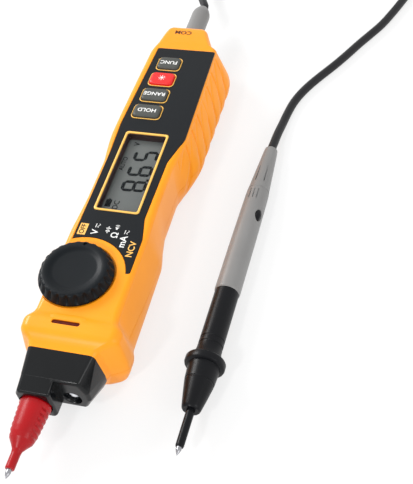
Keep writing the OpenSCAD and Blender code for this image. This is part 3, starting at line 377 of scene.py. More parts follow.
def row_at(share):
    """Row between the table's rows, without overshoot."""
    rows = ROW_SHARES
    k = max(i for i in range(len(rows)) if rows[i][0] <= share + 1e-9)
    if k >= len(rows) - 1:
        return rows[-1][1:]

    def slope(i, c):
        if i <= 0 or i >= len(rows) - 1:
            return 0.0
        a = (rows[i][c] - rows[i - 1][c]) / (rows[i][0] - rows[i - 1][0])
        b = (rows[i + 1][c] - rows[i][c]) / (rows[i + 1][0] - rows[i][0])
        return 0.0 if a * b <= 0 else 2 * a * b / (a + b)

    h = rows[k + 1][0] - rows[k][0]
    t = (share - rows[k][0]) / h
    out = []
    for c in range(1, 7):
        p0, p1, m0, m1 = rows[k][c], rows[k + 1][c], slope(k, c) * h, slope(k + 1, c) * h
        out.append((2 * t ** 3 - 3 * t ** 2 + 1) * p0 + (t ** 3 - 2 * t ** 2 + t) * m0
                   + (3 * t ** 2 - 2 * t ** 3) * p1 + (t ** 3 - t ** 2) * m1)
    return out


def ramp_up(x, a, b):
    t = max(0, min(1, (x - a) / (b - a)))
    return t * t * (3 - 2 * t)


GRIP_Y0, GRIP_Y1 = 24, 90
GRIP_PITCH = 8.6
GRIP_DEPTH = 0.75
GROOVE_HALF = 0.6
# Rows of grooves: lean, bend and depth share
GRIP_ROWS = ((0.1, 0.015, 1), (1.35, -0.02, 0.45))
SCALLOP = 0.5
GRIP_SPARE = 0.4
SCREW_Y = 59.7
CALM_LEN = 4


def grip_zone(y, down):
    """One on the grip, easing to nought at its ends and at the top edge."""
    return ramp_up(y, GRIP_Y0, GRIP_Y0 + 4) * (1 - ramp_up(y, GRIP_Y1 - 6, GRIP_Y1 - 1)) * ramp_up(down, 1.2, 3.0)


def groove_at(y, down):
    """Depth share of the two crossing rows of grooves, down being the way from the top edge."""
    groove = 0.0
    for lean, bend, depth in GRIP_ROWS:
        phase = (y + lean * down + bend * down * down) / GRIP_PITCH
        away = abs(phase - round(phase)) * GRIP_PITCH / math.hypot(1, lean)
        groove = max(groove, depth * max(0, 1 - (away / GROOVE_HALF) ** 2))
    return groove


def grip_inset(y, down):
    """How far the grip's scallops and grooves sink into the side."""
    calm = max(0, 1 - ((y - SCREW_Y) / CALM_LEN) ** 2) * (1 - ramp_up(down, 8, 11))
    zone = grip_zone(y, down) * (1 - 0.75 * calm)
    if not zone:
        return 0.0
    lean, bend, _ = GRIP_ROWS[0]
    bow = abs(math.sin(math.pi * (y + lean * down + bend * down * down) / GRIP_PITCH))
    return zone * (GRIP_DEPTH * groove_at(y, down) + SCALLOP * (1 - bow) * ramp_up(down, 7, 13))


def half_ring(row, inset, y, fine):
    tw, mw, bw = (v * HALF_W - inset for v in row[:3])
    zt, zb = row[3] * CASE_H - inset, row[4] * CASE_H + inset
    r = EDGE_R - inset / 2
    if fine:
        r += WING_R * ramp_up(y, shell_y(0.015), shell_y(0.035)) * (1 - ramp_up(y, shell_y(0.065), shell_y(0.085)))
    zl = zb + (zt - zb) * SKIRT_SHARE
    zs = zb + (zt - zb) * SHOULDER_SHARE
    arc_n = 9 if fine else 4
    turns = [math.pi / 2 * i / arc_n for i in range(arc_n + 1)]
    arc = [(tw - r + r * math.sin(a), zt - r + r * math.cos(a)) for a in turns]
    tuck = (bw + (mw - bw) * 0.5, zb + (zl - zb) * 0.22)
    if not fine:
        if GRIP_Y0 < y < GRIP_Y1 + 4:
            mw -= GRIP_DEPTH + GRIP_SPARE
        return arc + [(mw, zs), (mw, zl), tuck, (bw, zb)]
    side = [arc[-1], (mw, zs), (mw, zl), tuck, (bw, zb)]
    for cut in (0.16, 0.25):
        soft = [side[0]]
        for (xa, za), (xb, zb2) in zip(side, side[1:]):
            soft += [(xa + (xb - xa) * cut, za + (zb2 - za) * cut),
                     (xb + (xa - xb) * cut, zb2 + (za - zb2) * cut)]
        side = [side[0]] + soft[2:-1] + [side[-1]]
    points = arc + even_steps(side, SIDE_STEPS)[1:]
    top = points[0][1]
    return [(x - grip_inset(y, top - z), z) for x, z in points]


def even_steps(line, count):
    """Points at even distances along a line of points."""
    far = [0.0]
    for (xa, za), (xb, zb) in zip(line, line[1:]):
        far.append(far[-1] + math.hypot(xb - xa, zb - za))
    out = []
    for i in range(count + 1):
        want = far[-1] * i / count
        k = max(j for j in range(len(far) - 1) if far[j] <= want + 1e-9)
        t = (want - far[k]) / (far[k + 1] - far[k])
        (xa, za), (xb, zb) = line[k], line[k + 1]
        out.append((xa + (xb - xa) * t, za + (zb - za) * t))
    return out


def soft_row(share):
    """Row with the guard's ridges blended along the case."""
    blend = ramp_up(share, 0.012, 0.03) * (1 - ramp_up(share, 0.09, 0.1))
    spread = [row_at(share + blend * GUARD_BLEND * i / 4) for i in range(-4, 5)]
    return [sum(column) / len(spread) for column in zip(*spread)]


def case_ring(share, inset=0.0, fine=True, y=None):
    row = soft_row(share) if fine else row_at(share)
    y = shell_y(share) if y is None else y
    half = half_ring(row, inset, y, fine)
    centre = row[5] * HALF_W
    return [(centre + x, y, z) for x, z in half] + [(centre - x, y, z) for x, z in reversed(half)]


def case_solid(name):
    rough = [i / 180 for i in range(181)] + [i / 800 for i in range(10, 90)]
    grip = [(y / 4 - COLLAR_Y) / SHELL_LEN for y in range(4 * GRIP_Y0, 4 * GRIP_Y1 + 1)]
    plain = [s for s in rough if not grip[0] < s < grip[-1]]
    shares = sorted({round(s, 4) for s in plain + grip} | {row[0] for row in ROW_SHARES})
    return loft(name, [case_ring(s) for s in shares])


def hollow_solid(name):
    front = ((0, COLLAR_Y - 1), (0, shell_y(0.02)), (0.102, shell_y(0.03)))
    rings = [case_ring(share, WALL, False, y) for share, y in front]
    rings += [case_ring(share, WALL, False) for share, *_ in ROW_SHARES[7:-2]]
    rings.append(case_ring(1, WALL, False, COM_Y - WALL))
    return loft(name, rings)


PARTING_GAP = 0.14


def split_solid(name, above):
    """Everything on one side of the parting line, less half of the fine gap there."""
    edge = [(shell_y(s), z * CASE_H + (PARTING_GAP if above else -PARTING_GAP) / 2) for s, z in SPLIT_SHARES]
    far = CASE_H * 2 if above else -CASE_H
    outline = edge + [(edge[-1][0], far), (edge[0][0], far)]
    return loft(name, [[(x, y, z) for y, z in outline] for x in (-2 * HALF_W, 2 * HALF_W)])


# Display, keys and knob places, read from the construction's nodes
lcd_low, lcd_high = mm_box("lcd_window")
LCD_RIM = 0.9
LCD_ROUND = 1.2
knob_low, knob_high = mm_box("knob")
KNOB_X, KNOB_Y, _ = mm_middle("knob")
KNOB_R = (knob_high.x - knob_low.x) / 2
KNOB_PLACE = Matrix.Translation((KNOB_X, KNOB_Y, 0))
KEYS = ("hold_key", "range_key", "light_key", "func_key")
KEY_FLANGE = 0.8
KEY_TRAVEL = 0.82
KEY_GAP = 0.2
KEY_RIM_IN, KEY_RIM_OUT = 0.24, 0.62
RECESS = 0.8
KNOB_GAP = 0.4
RING_W = 3.8
PLATE_T = 0.5


def key_rect(node, grow, r=1.6):
    return grown_rect(*mm_box(node), grow - KEY_FLANGE, max(0.4, r + grow / 2))


def lcd_rect(grow, r=LCD_ROUND):
    return grown_rect(lcd_low, lcd_high, grow, r)


PLATE_SHARES = [(-0.64, 0.180), (0.67, 0.195), (0.67, 0.285), (0.565, 0.342), (0.585, 0.512), (0.77, 0.590),
                (0.715, 0.904), (-0.575, 0.904), (-0.672, 0.622), (-0.635, 0.530), (-0.63, 0.260)]


def corner_way(corners, i):
    """Way that a closed outline's corner moves when its sides move by one."""
    p = corners[i]
    a, b = (p - corners[i - 1]).normalized(), (corners[(i + 1) % len(corners)] - p).normalized()
    na, nb = Vector((a.y, -a.x)), Vector((b.y, -b.x))
    return (na + nb) / max(0.4, 1 + na.dot(nb))


def plate_outline(grow, corner, steps=5):
    """The faceplate's outline moved out by grow, its corners rounded."""
    corners = [Vector((s * HALF_W, shell_y(y))) for s, y in PLATE_SHARES]
    moved = [p + corner_way(corners, i) * grow for i, p in enumerate(corners)]
    out = []
    for i, p in enumerate(moved):
        p0 = p + (moved[i - 1] - p).normalized() * corner
        p1 = p + (moved[(i + 1) % len(moved)] - p).normalized() * corner
        for j in range(steps + 1):
            t = j / steps
            out.append(tuple(p0 * (1 - t) ** 2 + p * 2 * t * (1 - t) + p1 * t ** 2))
    return out


def plate_cutter(name, gap):
    """The faceplate's recess with a slightly flared mouth, less the disc round the knob."""
    levels = [(gap, CASE_H - PLATE_T), (gap, CASE_H - 0.15), (gap + 0.35, CASE_H + 0.2), (gap + 0.35, CASE_H + 2)]
    cutter = prism(name, [(plate_outline(grow, 0.9), z) for grow, z in levels])
    ring = KNOB_R + RING_W - gap
    profile = [(CASE_H - PLATE_T - 1, ring), (CASE_H - 0.15, ring), (CASE_H + 0.2, ring - 0.35),
               (CASE_H + 3, ring - 0.35)]
    keep = lathe("keep", profile, KNOB_PLACE, 96)
    return combine(cutter, [keep])


def faceplate():
    """Dark plate with rounded corners, its openings for the display and the keys, and the arc round the knob."""
    low, top = CASE_H - PLATE_T, CASE_H + 0.02
    plain = plate_outline(0, 0.9)
    body = prism("face_sheet", [(plain, low), (plain, top - 0.12), (plate_outline(-0.14, 0.85), top)])
    cutters = [straight("display", lcd_rect(0), low - 1, top + 1)]
    cutters += [straight("key", key_rect(node, KEY_RIM_OUT), low - 1, top + 1) for node in KEYS]
    cutters.append(rod("knob_ring", (KNOB_X, KNOB_Y, low - 1), "z", KNOB_R + RING_W, 3, 96))
    settle(combine(body, cutters), PLATE, "case", 30, "faceplate")


slot_low, slot_high = mm_box("alarm_window")


def slot_outline(grow):
    return grown_rect(slot_low, slot_high, grow, (slot_high.y - slot_low.y) / 2 + grow - 0.01, 8)


jack_low, jack_high = mm_box("com_jack_sleeve")
JACK_X, _, JACK_Z = mm_middle("com_jack_sleeve")
JACK_R = (jack_high.x - jack_low.x) / 2


def jack_hole():
    return rod("jack", (JACK_X, COM_Y - WALL - 1, JACK_Z), "y", JACK_R + 0.1, WALL + 2)


def upper_case():
    body = combine(case_solid("upper_shell"), [split_solid("above", True)], "INTERSECT")
    cutters = [hollow_solid("hollow"), plate_cutter("plate", 0.1)]
    cutters.append(straight("display", lcd_rect(-LCD_RIM, 0.8), CEILING - 1, CASE_H + 1))
    cutters += [straight("key", key_rect(node, KEY_GAP), CEILING - 1, CASE_H + 1) for node in KEYS]
    r = KNOB_R + KNOB_GAP
    dish = [(CASE_H - RECESS, r), (CASE_H - 0.3, r), (CASE_H, r + 0.25), (CASE_H + 2, r + 1.6)]
    cutters.append(lathe("knob_dish", dish, KNOB_PLACE, 96))
    cutters += [straight("slot", slot_outline(0.03), CEILING - 1, CASE_H + 2), jack_hole()]
    settle(combine(body, cutters), ORANGE, "case", 30, "upper_case")


door_low, door_high = mm_box("battery_door")
cell_low, cell_high = mm_box("cell_left")
DOOR_STEP = 0.3
TAB_HALF = 4.5
TAB_LEN = 5.5
FRONT_SCREW_X = 11.4
SCREW_HEAD_R = 2.1
BOSS_WALL = 1.1


def door_outline(gap):
    x0, x1, y0, y1 = door_low.x - gap, door_high.x + gap, door_low.y - gap, door_high.y + gap
    back, tab = door_high.y - TAB_LEN + gap, TAB_HALF + gap
    return [(x0, y0), (x1, y0), (x1, back), (tab, back), (tab, y1), (-tab, y1), (-tab, back), (x0, back)]


def lower_case():
    body = combine(case_solid("lower_shell"), [split_solid("below", False)], "INTERSECT")
    bay_x = cell_high.x - cell_low.x + 0.45
    bay_y0, bay_y1 = mm_box("battery_springs")[0].y, mm_box("battery_plates")[1].y + 0.02
    bay_top = cell_high.z + 0.3
    hollow = hollow_solid("hollow")
    walls = straight("bay_walls", box_shape(-bay_x - 2, bay_x + 2, bay_y0 - 2, bay_y1 + 2), -1, bay_top + 0.8)
    screws_low, screws_high = mm_box("case_screws")
    head = SCREW_HEAD_R
    spots = [(screws_high.x - head, screws_high.y - head), (screws_low.x + head, screws_high.y - head),
             (FRONT_SCREW_X, screws_low.y + head), (-FRONT_SCREW_X, screws_low.y + head)]
    combine(hollow, [walls] + [rod("boss_core", (x, y, -1), "z", head + BOSS_WALL, 7) for x, y in spots])
    cutters = [hollow, straight("bay", box_shape(-bay_x, bay_x, bay_y0, bay_y1), -1, bay_top),
               straight("door_seat", door_outline(0.25), -1, door_high.z + 0.1), jack_hole()]
    cutters += [rod("screw_hole", (x, y, -1), "z", head + 0.1, screws_low.z + 2.4) for x, y in spots]
    settle(combine(body, cutters), ORANGE, "case", 30, "lower_case")


def battery_door():
    outline, inner = door_outline(0), door_outline(-DOOR_STEP)
    body = prism("bay_cover", [(inner, 0), (outline, DOOR_STEP), (outline, door_high.z)])
    x, y, _ = mm_middle("door_screw")
    cutters = [rod("head", (x, y, -1), "z", 2.2, 1.9), rod("shank", (x, y, -1), "z", 1.3, 4)]
    for i in range(5):
        line, half = door_low.y + 5 + 1.6 * i, 6 - i * 0.5
        cutters.append(straight("thumb", box_shape(-half, half, line, line + 0.7), -1, 0.4))
    settle(combine(body, cutters), ORANGE, "battery_door", 30, "battery_door")


def display_frame(name, levels, material):
    border = loop_skin(name, levelled([(lcd_rect(grow, r), z) for grow, r, z in levels]))
    settle(border, material, "case", 50)


def display():
    """Raised orange rim in a lighter orange that paints the highlight on its edge, dark liner of the recess with a
    painted reddish reflection of the orange case, and the figures on the display.
    """
    levels = ((-LCD_RIM, 0.8, CEILING), (-LCD_RIM, 0.8, CASE_H + 0.12), (-LCD_RIM + 0.2, 0.9, CASE_H + 0.34),
              (-0.22, 1.1, CASE_H + 0.34), (0, LCD_ROUND, CASE_H + 0.1), (0, LCD_ROUND, CEILING))
    # The rim's lighter orange is a painted highlight on its edge
    display_frame("display_rim", levels, ORANGE_PAINTED_HIGHLIGHT)
    glass_top = mm_box("lcd_glass")[1].z
    # Dark liner: a dark bezel whose reddish tint is a painted reflection of the orange case
    levels = ((-LCD_RIM - 0.02, 0.78, glass_top + 0.3), (-LCD_RIM - 0.02, 0.78, CASE_H - 0.15),
              (-LCD_RIM - 0.28, 0.6, CASE_H - 0.2), (-LCD_RIM - 0.28, 0.6, glass_top + 0.3))
    display_frame("display_liner", levels, BEZEL_DARK_AND_REFLECTION)
    figures(glass_top)


PRINT_T = 0.02
LETTER_SCALE = 1.35
SEGMENTS = {"8": "abcdefg", "6": "acdefg", "5": "acdfg"}
# Where each segment starts, along and down the figure, and whether it stands upright
SEGMENT_AT = {"a": (0, 0, False), "d": (0, 2, False), "g": (0, 1, False), "f": (0, 0, True), "b": (1, 0, True),
              "e": (0, 1, True), "c": (1, 1, True)}


def figures(z):
    """Seven-segment figures, read from the probe end with their tops to the left."""
    height, width, bar, gap = 9.8, 5.6, 1.35, 0.05
    left, lean = -3.9, 0.5
    half, wide, tall = bar / 2, width - bar, (height - bar) / 2
    shapes = []

    def add(start, points):
        shapes.append([(left + down, start + along - (height - down) / height * lean, z + 0.02)
                       for along, down in points])

    for figure, middle in (("8", 11.6), ("6", 19.5), ("5", 27.4)):
        for mark in SEGMENTS[figure]:
            a, c, upright = SEGMENT_AT[mark]
            long = tall if upright else wide
            near, far = gap + half, long - gap - half
            bar_points = [(gap, 0), (near, -half), (far, -half), (long - gap, 0), (far, half), (near, half)]
            x, y = a * wide + half, c * tall + half
            add(middle - width / 2 + 0.3, [(x - v, y + u) if upright else (x + u, y + v) for u, v in bar_points])
    add(14.6, box_shape(0, 1.2, 8.6, 9.8))
    flat_piece("display_figures", shapes, LCD_INK, "case")
    for name, words, x, y, size in (("unit", "V", -4.3, 33.4, 2.4), ("auto", "AUTO", -6.6, 22.5, 1.9),
                                    ("kind", "DC", -2.9, 1.6, 2.2)):
        legend("display_" + name, words, (x, y, z + 0.02), size, LCD_INK)
    battery = [(-7.2, 0.3), (-5.0, 0.3), (-5.0, 3.9), (-5.7, 3.9), (-5.7, 4.4), (-6.5, 4.4), (-6.5, 3.9), (-7.2, 3.9)]
    flat_piece("display_battery", [[(x, y, z + 0.02) for x, y in battery]], LCD_INK, "case")


def legend(name, words, place, size, material=PRINT, body="case", turn=90):
    """Flat lettering, centred on a place and turned about the vertical."""
    data = bpy.data.curves.new(name, "FONT")
    data.body = words
    data.size = size * LETTER_SCALE * MM
    data.align_x = data.align_y = "CENTER"
    data.extrude = PRINT_T * MM / 2
    data.offset = size * 0.02 * MM
    data.resolution_u = 3
    source = new_object(name + "_words", data)
    source.matrix_world = Matrix.Translation(Vector(place) * MM) @ Matrix.Rotation(math.radians(turn), 4, "Z")
    mesh = evaluated_mesh(source)
    mesh.transform(source.matrix_world)
    bpy.data.objects.remove(source)
    obj = new_object(name, mesh)
    assign(obj, material, body)
    return obj


def dial_legends():
    """Words and marks of the five switch positions, placed one by one and turned to be read from the side."""
    z = CASE_H + 0.03
    legend("mark_volts", "V", (-5.0, -14.6, z), 2.7)
    legend("mark_ohms", "\u03a9", (2.6, -14.9, z), 2.6)
    legend("mark_amps", "mA", (6.3, -17.4, z), 2.7)
    legend("mark_sense", "NCV", (10.3, -20.2, z), 2.5, PRINT_ORANGE)
    legend("mark_off", "OFF", (-9.8, -13.9, z), 1.9, PLATE).location.z += 0.00003
    flat_marks("mark_off_panel", [box_shape(-2.6, 2.6, -1.5, 1.5)], (-9.8, -13.9, z), material=PRINT_ORANGE)
    supply_mark("volts", (-5.0, -11.6, z))
    supply_mark("amps", (6.3, -13.0, z))
    diode = [box_shape(-1.5, 1.5, -0.16, 0.16), [(-0.8, -0.9), (0.5, 0), (-0.8, 0.9)],
             box_shape(0.5, 0.85, -0.9, 0.9)]
    flat_marks("mark_diode", diode, (-0.6, -12.9, z))
    sound_mark((2.4, -11.4, z))


def flat_marks(name, shapes, place, angle=90, material=PRINT, body="case"):
    """Small flat polygons drawn in their own plane, turned and set down at a place."""
    turn = Matrix.Rotation(math.radians(angle), 2)
    moved = [[(place[0] + p.x, place[1] + p.y, place[2]) for p in (turn @ Vector(point) for point in shape)]
             for shape in shapes]
    flat_piece(name, moved, material, body)


def supply_mark(name, place):
    """Straight line over a wave: the sign for both kinds of current."""
    wave = [(-0.9 + 0.15 * i, -0.45 + 0.32 * math.sin(2 * math.pi * i / 12)) for i in range(13)]
    band = wave + [(x, y - 0.26) for x, y in reversed(wave)]
    flat_marks("mark_supply_" + name, [box_shape(-0.9, 0.9, 0.35, 0.6), band], place)


def sound_mark(place):
    """Small loudspeaker with two bows of sound."""
    shapes = [box_shape(-1.0, -0.5, -0.3, 0.3), [(-0.5, -0.3), (0, -0.8), (0, 0.8), (-0.5, 0.3)]]
    for r in (0.5, 0.95):
        bow = [polar(r, a) for a in range(-45, 46, 15)]
        shapes.append(bow + [(x * (1 + 0.2 / r), y * (1 + 0.2 / r)) for x, y in reversed(bow)])
    flat_marks("mark_sound", shapes, place)


KEY_WORDS = {"hold_key": "HOLD", "range_key": "RANGE", "func_key": "FUNC"}


def keys():
    """Caps with their stems, the raised frames round them in a lighter orange that paints the highlight on their
    edges, and their words.
    """
    for node in KEYS:
        low, high = mm_box(node)
        top = high.z
        x, y, _ = mm_middle(node)
        red = node == "light_key"
        material, slot = (KEY_RED, "key_red") if red else (KEY_GREY, "key_grey")
        flange = key_rect(node, KEY_FLANGE, 1.2)
        crown = ((0, 0.75), (-0.12, 0.38), (-0.42, 0.12), (-0.9, 0.02))
        levels = [(flange, CEILING - 1.2), (flange, CEILING - 0.2), (key_rect(node, 0), CEILING - 0.2)]
        levels += [(key_rect(node, grow), top - down) for grow, down in crown] + [(key_rect(node, -1.5, 1.2), top)]
        cap = prism(node.replace("_key", "_cap"), levels)
        foot = low.z + KEY_TRAVEL
        stem = rod(node.replace("_key", "_stem"), (x, y, foot), "z", 1.8, CEILING - 1 - foot, 32)
        settle(cap, material, node, 60, node)
        settle(stem, material, node)
        edges = ((KEY_RIM_IN, CEILING), (KEY_RIM_IN, CASE_H + 0.1), (KEY_RIM_IN + 0.12, CASE_H + 0.24),
                 (KEY_RIM_OUT - 0.12, CASE_H + 0.24), (KEY_RIM_OUT, CASE_H + 0.1), (KEY_RIM_OUT, CEILING))
        # The frame's lighter orange is a painted highlight on its edges
        trim = loop_skin(node + "_rim", levelled([(key_rect(node, grow), z) for grow, z in edges]))
        settle(trim, ORANGE_PAINTED_HIGHLIGHT, "case", 50)
        if red:
            sun_mark((x, y, top + 0.02))
        else:
            legend(node + "_word", KEY_WORDS[node], (x, y, top + 0.02), 2.05, PRINT, node, 180)


def sun_mark(place):
    shapes = [[polar(0.62, a) for a in range(0, 360, 30)]]
    for a in range(0, 360, 45):
        c, s = polar(1, a)
        shapes.append([(r * c - w * s, r * s + w * c) for r, w in box_shape(0.85, 1.5, -0.11, 0.11)])
    flat_marks("light_key_sun", shapes, place, 0, body="light_key")


FLUTES = 24
FLUTE_DEPTH = 0.85
MARK_TURN = math.radians(88)
MARK_R = 0.7


def knob():
    """Broad low knob: scalloped side, rounded rim and a shallow dished top."""
    z0, z1 = knob_high.z - 4.4, knob_high.z
    shaft_r, base = 4, knob_low.z
    side = ((0, 0.3), (0.3, 0), (0.9, 0), (1.4, 0.15), (2.6, 0.7))
    crown = ((1.0, 1.0), (0.45, 1.25), (0.12, 1.75), (0, 2.4), (0.02, 3.6), (0.2, 4.3), (0.5, 4.9), (0.62, 5.8))
    profile = [(base, shaft_r), (z0, shaft_r)] + [(z0 + up, KNOB_R - inward) for up, inward in side]
    profile += [(z1 - down, KNOB_R - inward) for down, inward in crown] + [(z1 - 0.66, 4), (z1 - 0.68, 0.5)]

    def wave(a, h, r):
        if r < KNOB_R - 2 or h < z0 + 1.0:
            return r
        tooth = 0.5 + 0.5 * math.cos(FLUTES * (a - MARK_TURN) + math.pi)
        fade = ramp_up(h, z0 + 0.9, z0 + 1.5) * (1 - ramp_up(h, z1 - 0.7, z1 - 0.1))
        return r - FLUTE_DEPTH * fade * tooth ** 2

    body = lathe("switch_knob", profile, KNOB_PLACE, 240, wave)
    x, y = KNOB_X + (KNOB_R - 2.6) * math.cos(MARK_TURN), KNOB_Y + (KNOB_R - 2.6) * math.sin(MARK_TURN)
    combine(body, [rod("mark", (x, y, z1 - 0.5), "z", MARK_R, 2, 32)])
    settle(body, KNOB, "knob", 45, "knob")


# Nose cap
NOSE_Y = mm_box("nose_cap")[0].y
TORCH_SET = 5
PROBE_HOLE_R, SOCKET_HOLE_R, LED_HOLE_R = 5.7, 2.65, 2.6
NOSE_FRONT_SHARES = [(0.46, 0.80), (0.56, 0.62), (0.56, 0.44), (0.43, 0.24), (-0.55, 0.24), (-0.67, 0.44),
                     (-0.68, 0.68), (-0.62, 0.82), (-0.56, 0.845), (0.42, 0.845)]
NOSE_TIP_SHARES = [(-0.015, 0.76), (-0.015, 0.28), (-0.06, 0.235), (-0.53, 0.235), (-0.65, 0.42), (-0.66, 0.68),
                   (-0.60, 0.785), (-0.55, 0.80), (-0.05, 0.80)]


def moved_in(points, by):
    """Closed outline moved inwards."""
    corners = [Vector(p) for p in points]
    middle = sum(corners, Vector((0, 0))) / len(corners)
    out = []
    for i, p in enumerate(corners):
        way = corner_way(corners, i)
        out.append(p + way * (-by if way.dot(middle - p) < 0 else by))
    return out


def hull_piece(name, plain, rounded, radius):
    """Convex solid round plain outlines and balls set along rounded ones, each an (x, z) outline at a Y."""
    shape = bmesh.new()
    for points, y in plain:
        for x, z in points:
            shape.verts.new((x * MM, y * MM, z * MM))
    for points, y in rounded:
        for x, z in moved_in(points, radius):
            for i in range(1, 10):
                up = math.pi * i / 10
                for j in range(20):
                    a = math.pi * j / 10
                    flat = radius * math.sin(up)
                    place = (x + flat * math.cos(a), y + radius - radius * math.cos(up), z + flat * math.sin(a))
                    shape.verts.new(Vector(place) * MM)
            shape.verts.new(Vector((x, y, z)) * MM)
    bmesh.ops.convex_hull(shape, input=shape.verts)
    loose = [v for v in shape.verts if not v.link_faces]
    bmesh.ops.delete(shape, geom=loose, context="VERTS")
    bmesh.ops.dissolve_limit(shape, angle_limit=math.radians(1), verts=shape.verts, edges=shape.edges)
    bmesh.ops.recalc_face_normals(shape, faces=shape.faces)
    mesh = bpy.data.meshes.new(name)
    shape.to_mesh(mesh)
    shape.free()
    return new_object(name, mesh)


def nose_cap():
    def sized(shares):
        return [(x * HALF_W, z * CASE_H) for x, z in shares]

    front, tip = sized(NOSE_FRONT_SHARES), sized(NOSE_TIP_SHARES)
    face_y = NOSE_Y + TORCH_SET
    collar = [(x, z) for x, _, z in case_ring(0, 0.02, False)]
    wide = hull_piece("nose_shell", [(collar, COLLAR_Y)], [(front, face_y)], 1.5)
    left = [(min(x, -0.3), z) for x, z in front]
    narrow = hull_piece("nose_arm", [], [(tip, NOSE_Y), (left, face_y + 1.5)], 1.2)
    combine(wide, [narrow], "UNION")
    px, _, pz = mm_middle("probe_body")
    lx, lz = mm_middle("torch_led").x, mm_box("torch_led")[0].z + 2.5
    inner = [(x * 0.84, 12.5 + (z - 12.5) * 0.8) for x, z in front]
    back = [(x, z) for x, _, z in case_ring(0, 2 * WALL, False)]
    hollow = hull_piece("nose_hollow", [(inner, face_y + 3.4), (back, COLLAR_Y + 1)], [], 0)
    profile = [(0, 2.8), (1.2, 2.9), (1.9, 3.3), (2.5, 3.8), (4, 4.2)]
    well = lathe("well", profile, facing((lx, face_y + 1.9, lz), -1), 48)
    cutters = [hollow, rod("probe_hole", (px, NOSE_Y - 1, pz), "y", PROBE_HOLE_R, 6.3),
               rod("socket_hole", (px, NOSE_Y, pz), "y", SOCKET_HOLE_R, 14),
               rod("led_hole", (lx, face_y - 1, lz), "y", LED_HOLE_R, 8), well]
    settle(combine(wide, cutters), BLACK, "case", 60, "nose_cap")


# Probe, plug and pen: pieces turned about an axis
PROBE_R = 5.4
RIB_PITCH, RIB_DEPTH = 1.9, 0.45
NEEDLE_END = ((2.0, 0.9), (1.1, 0.62), (0.35, 0.25), (0, 0.03))


def red_probe():
    low, high = mm_box("probe_body")
    x, _, z = mm_middle("probe_body")
    r = PROBE_R
    neck, cone, end = NOSE_Y - 11.5, NOSE_Y - 17, low.y
    points = [(high.y, 0.05), (high.y, r - 0.3), (NOSE_Y, r - 0.3), (NOSE_Y, r - 0.15), (NOSE_Y - 0.3, r),
              (neck + 2, 4.75), (neck, 4.45), (neck - 1.6, 3.9), (neck - 3.4, 2.6), (neck - 4.8, 1.75),
              (cone - 0.6, 1.55), (end + 0.3, 1.55), (end, 1.4), (end, 0.92)]
    profile = [(-y, q) for y, q in points]

    def wave(a, h, q):
        """Finger ribs on both sides."""
        y = -h
        side = abs(math.cos(a))
        if q < 4 or y > NOSE_Y - 1.2:
            return q
        rib = 0.5 + 0.5 * math.cos(2 * math.pi * (y - NOSE_Y) / RIB_PITCH)
        return q - RIB_DEPTH * ramp_up(side, 0.72, 0.9) * rib

    dense = []
    for (h0, q0), (h1, q1) in zip(profile, profile[1:]):
        n = max(1, round(abs(h1 - h0) / 0.24)) if abs(h1 - h0) > 0.6 else 1
        dense += [(h0 + (h1 - h0) * i / n, q0 + (q1 - q0) * i / n) for i in range(n)]
    dense.append(profile[-1])
    settle(lathe("nose_probe", dense, facing((x, 0, z), -1), 96, wave), RED, "probe", 50, "probe_body")


def lead_plug():
    low, high = mm_box("plug_body")
    x, _, z = mm_middle("plug_body")
    r = (high.x - low.x) / 2
    end = high.y
    inner = [(low.y + 11, 1.9), (low.y + 11, 3.05)]
    front = [(low.y, 3.1), (low.y, r - 0.2), (low.y + 0.3, r), (COM_Y + 3, r), (COM_Y + 3.2, r - 0.12),
             (COM_Y + 3.6, r - 0.12), (COM_Y + 3.8, r)]
    rear = [(end - 5, r), (end - 3.6, r - 0.25), (end - 2.2, r - 0.75), (end - 1.1, r - 1.3), (end - 0.4, r - 1.6),
            (end, 2.2), (end, 1.7)]
    body = lathe("lead_plug", inner + front + rear, facing((x, 0, z)), 72)
    settle(body, GREY, "lead", 40, "plug_body")


PEN_REAR = Vector((43.3, 55.2, 3.9))
PEN_PITCH = math.radians(1.75)
PEN_YAW = math.radians(-0.5)
PEN_PLACE = Matrix.Translation(PEN_REAR) @ Matrix.Rotation(PEN_YAW, 4, "Z")
PEN_PLACE = PEN_PLACE @ Matrix.Rotation(math.pi / 2 - PEN_PITCH, 4, "X")
NOTCH_TURN = math.radians(-52)
NOTCH_AT = 38.5
PEN_R = 4.6


def pen_spot(turn, out, h):
    """A place beside the pen's axis: turned about it, then out and along."""
    return PEN_PLACE @ Matrix.Rotation(turn, 4, "Z") @ Matrix.Translation((0, out, h))


def pen_grip():
    """Grey rear half with a ring line, three fine slots and a notch that shows the black core."""
    points = [(0, 1.75), (0, 2.3), (0.4, 2.62), (3, 2.85), (22.9, 4.1), (24.0, 4.22), (24.2, 4.05), (24.6, 4.05),
              (24.8, 4.3), (28, 4.4), (50, PEN_R), (73.8, PEN_R + 0.08), (74.6, PEN_R), (75, PEN_R - 0.4), (75, 0.1)]
    body = lathe("pen_rear", points, PEN_PLACE, 96)
    cutters = []
    for turn, h0, long in ((-25, 10, 11), (25, 10, 11), (60, 10, 11), (-12, 26, 5), (8, 26, 5), (28, 26, 5)):
        reach = 3.3 + 0.03 * h0 if h0 < 20 else 4.38
        place = pen_spot(math.radians(turn), reach + 0.15, h0)
        ends = [[place @ Vector((x, y, h)) for x, y in box_shape(-0.22, 0.22, -0.42, 0.42)] for h in (0, long)]
        cutters.append(loft("slot", ends))
    profile = [(-3.2, 0.05), (-2.6, 0.9), (-1.4, 1.6), (0, 1.9), (1.4, 1.6), (2.6, 0.9), (3.2, 0.05)]
    cutters.append(lathe("notch", profile, pen_spot(NOTCH_TURN, PEN_R + 0.3, NOTCH_AT), 32))
    settle(combine(body, cutters), GREY, "lead", 40, "pen_grip")
    profile = [(-3.0, 0.05), (-2.2, 1.0), (0, 1.5), (2.2, 1.0), (3.0, 0.05)]
    core = lathe("pen_core", profile, pen_spot(NOTCH_TURN, PEN_R - 0.85, NOTCH_AT), 32)
    settle(core, PEN, "lead")


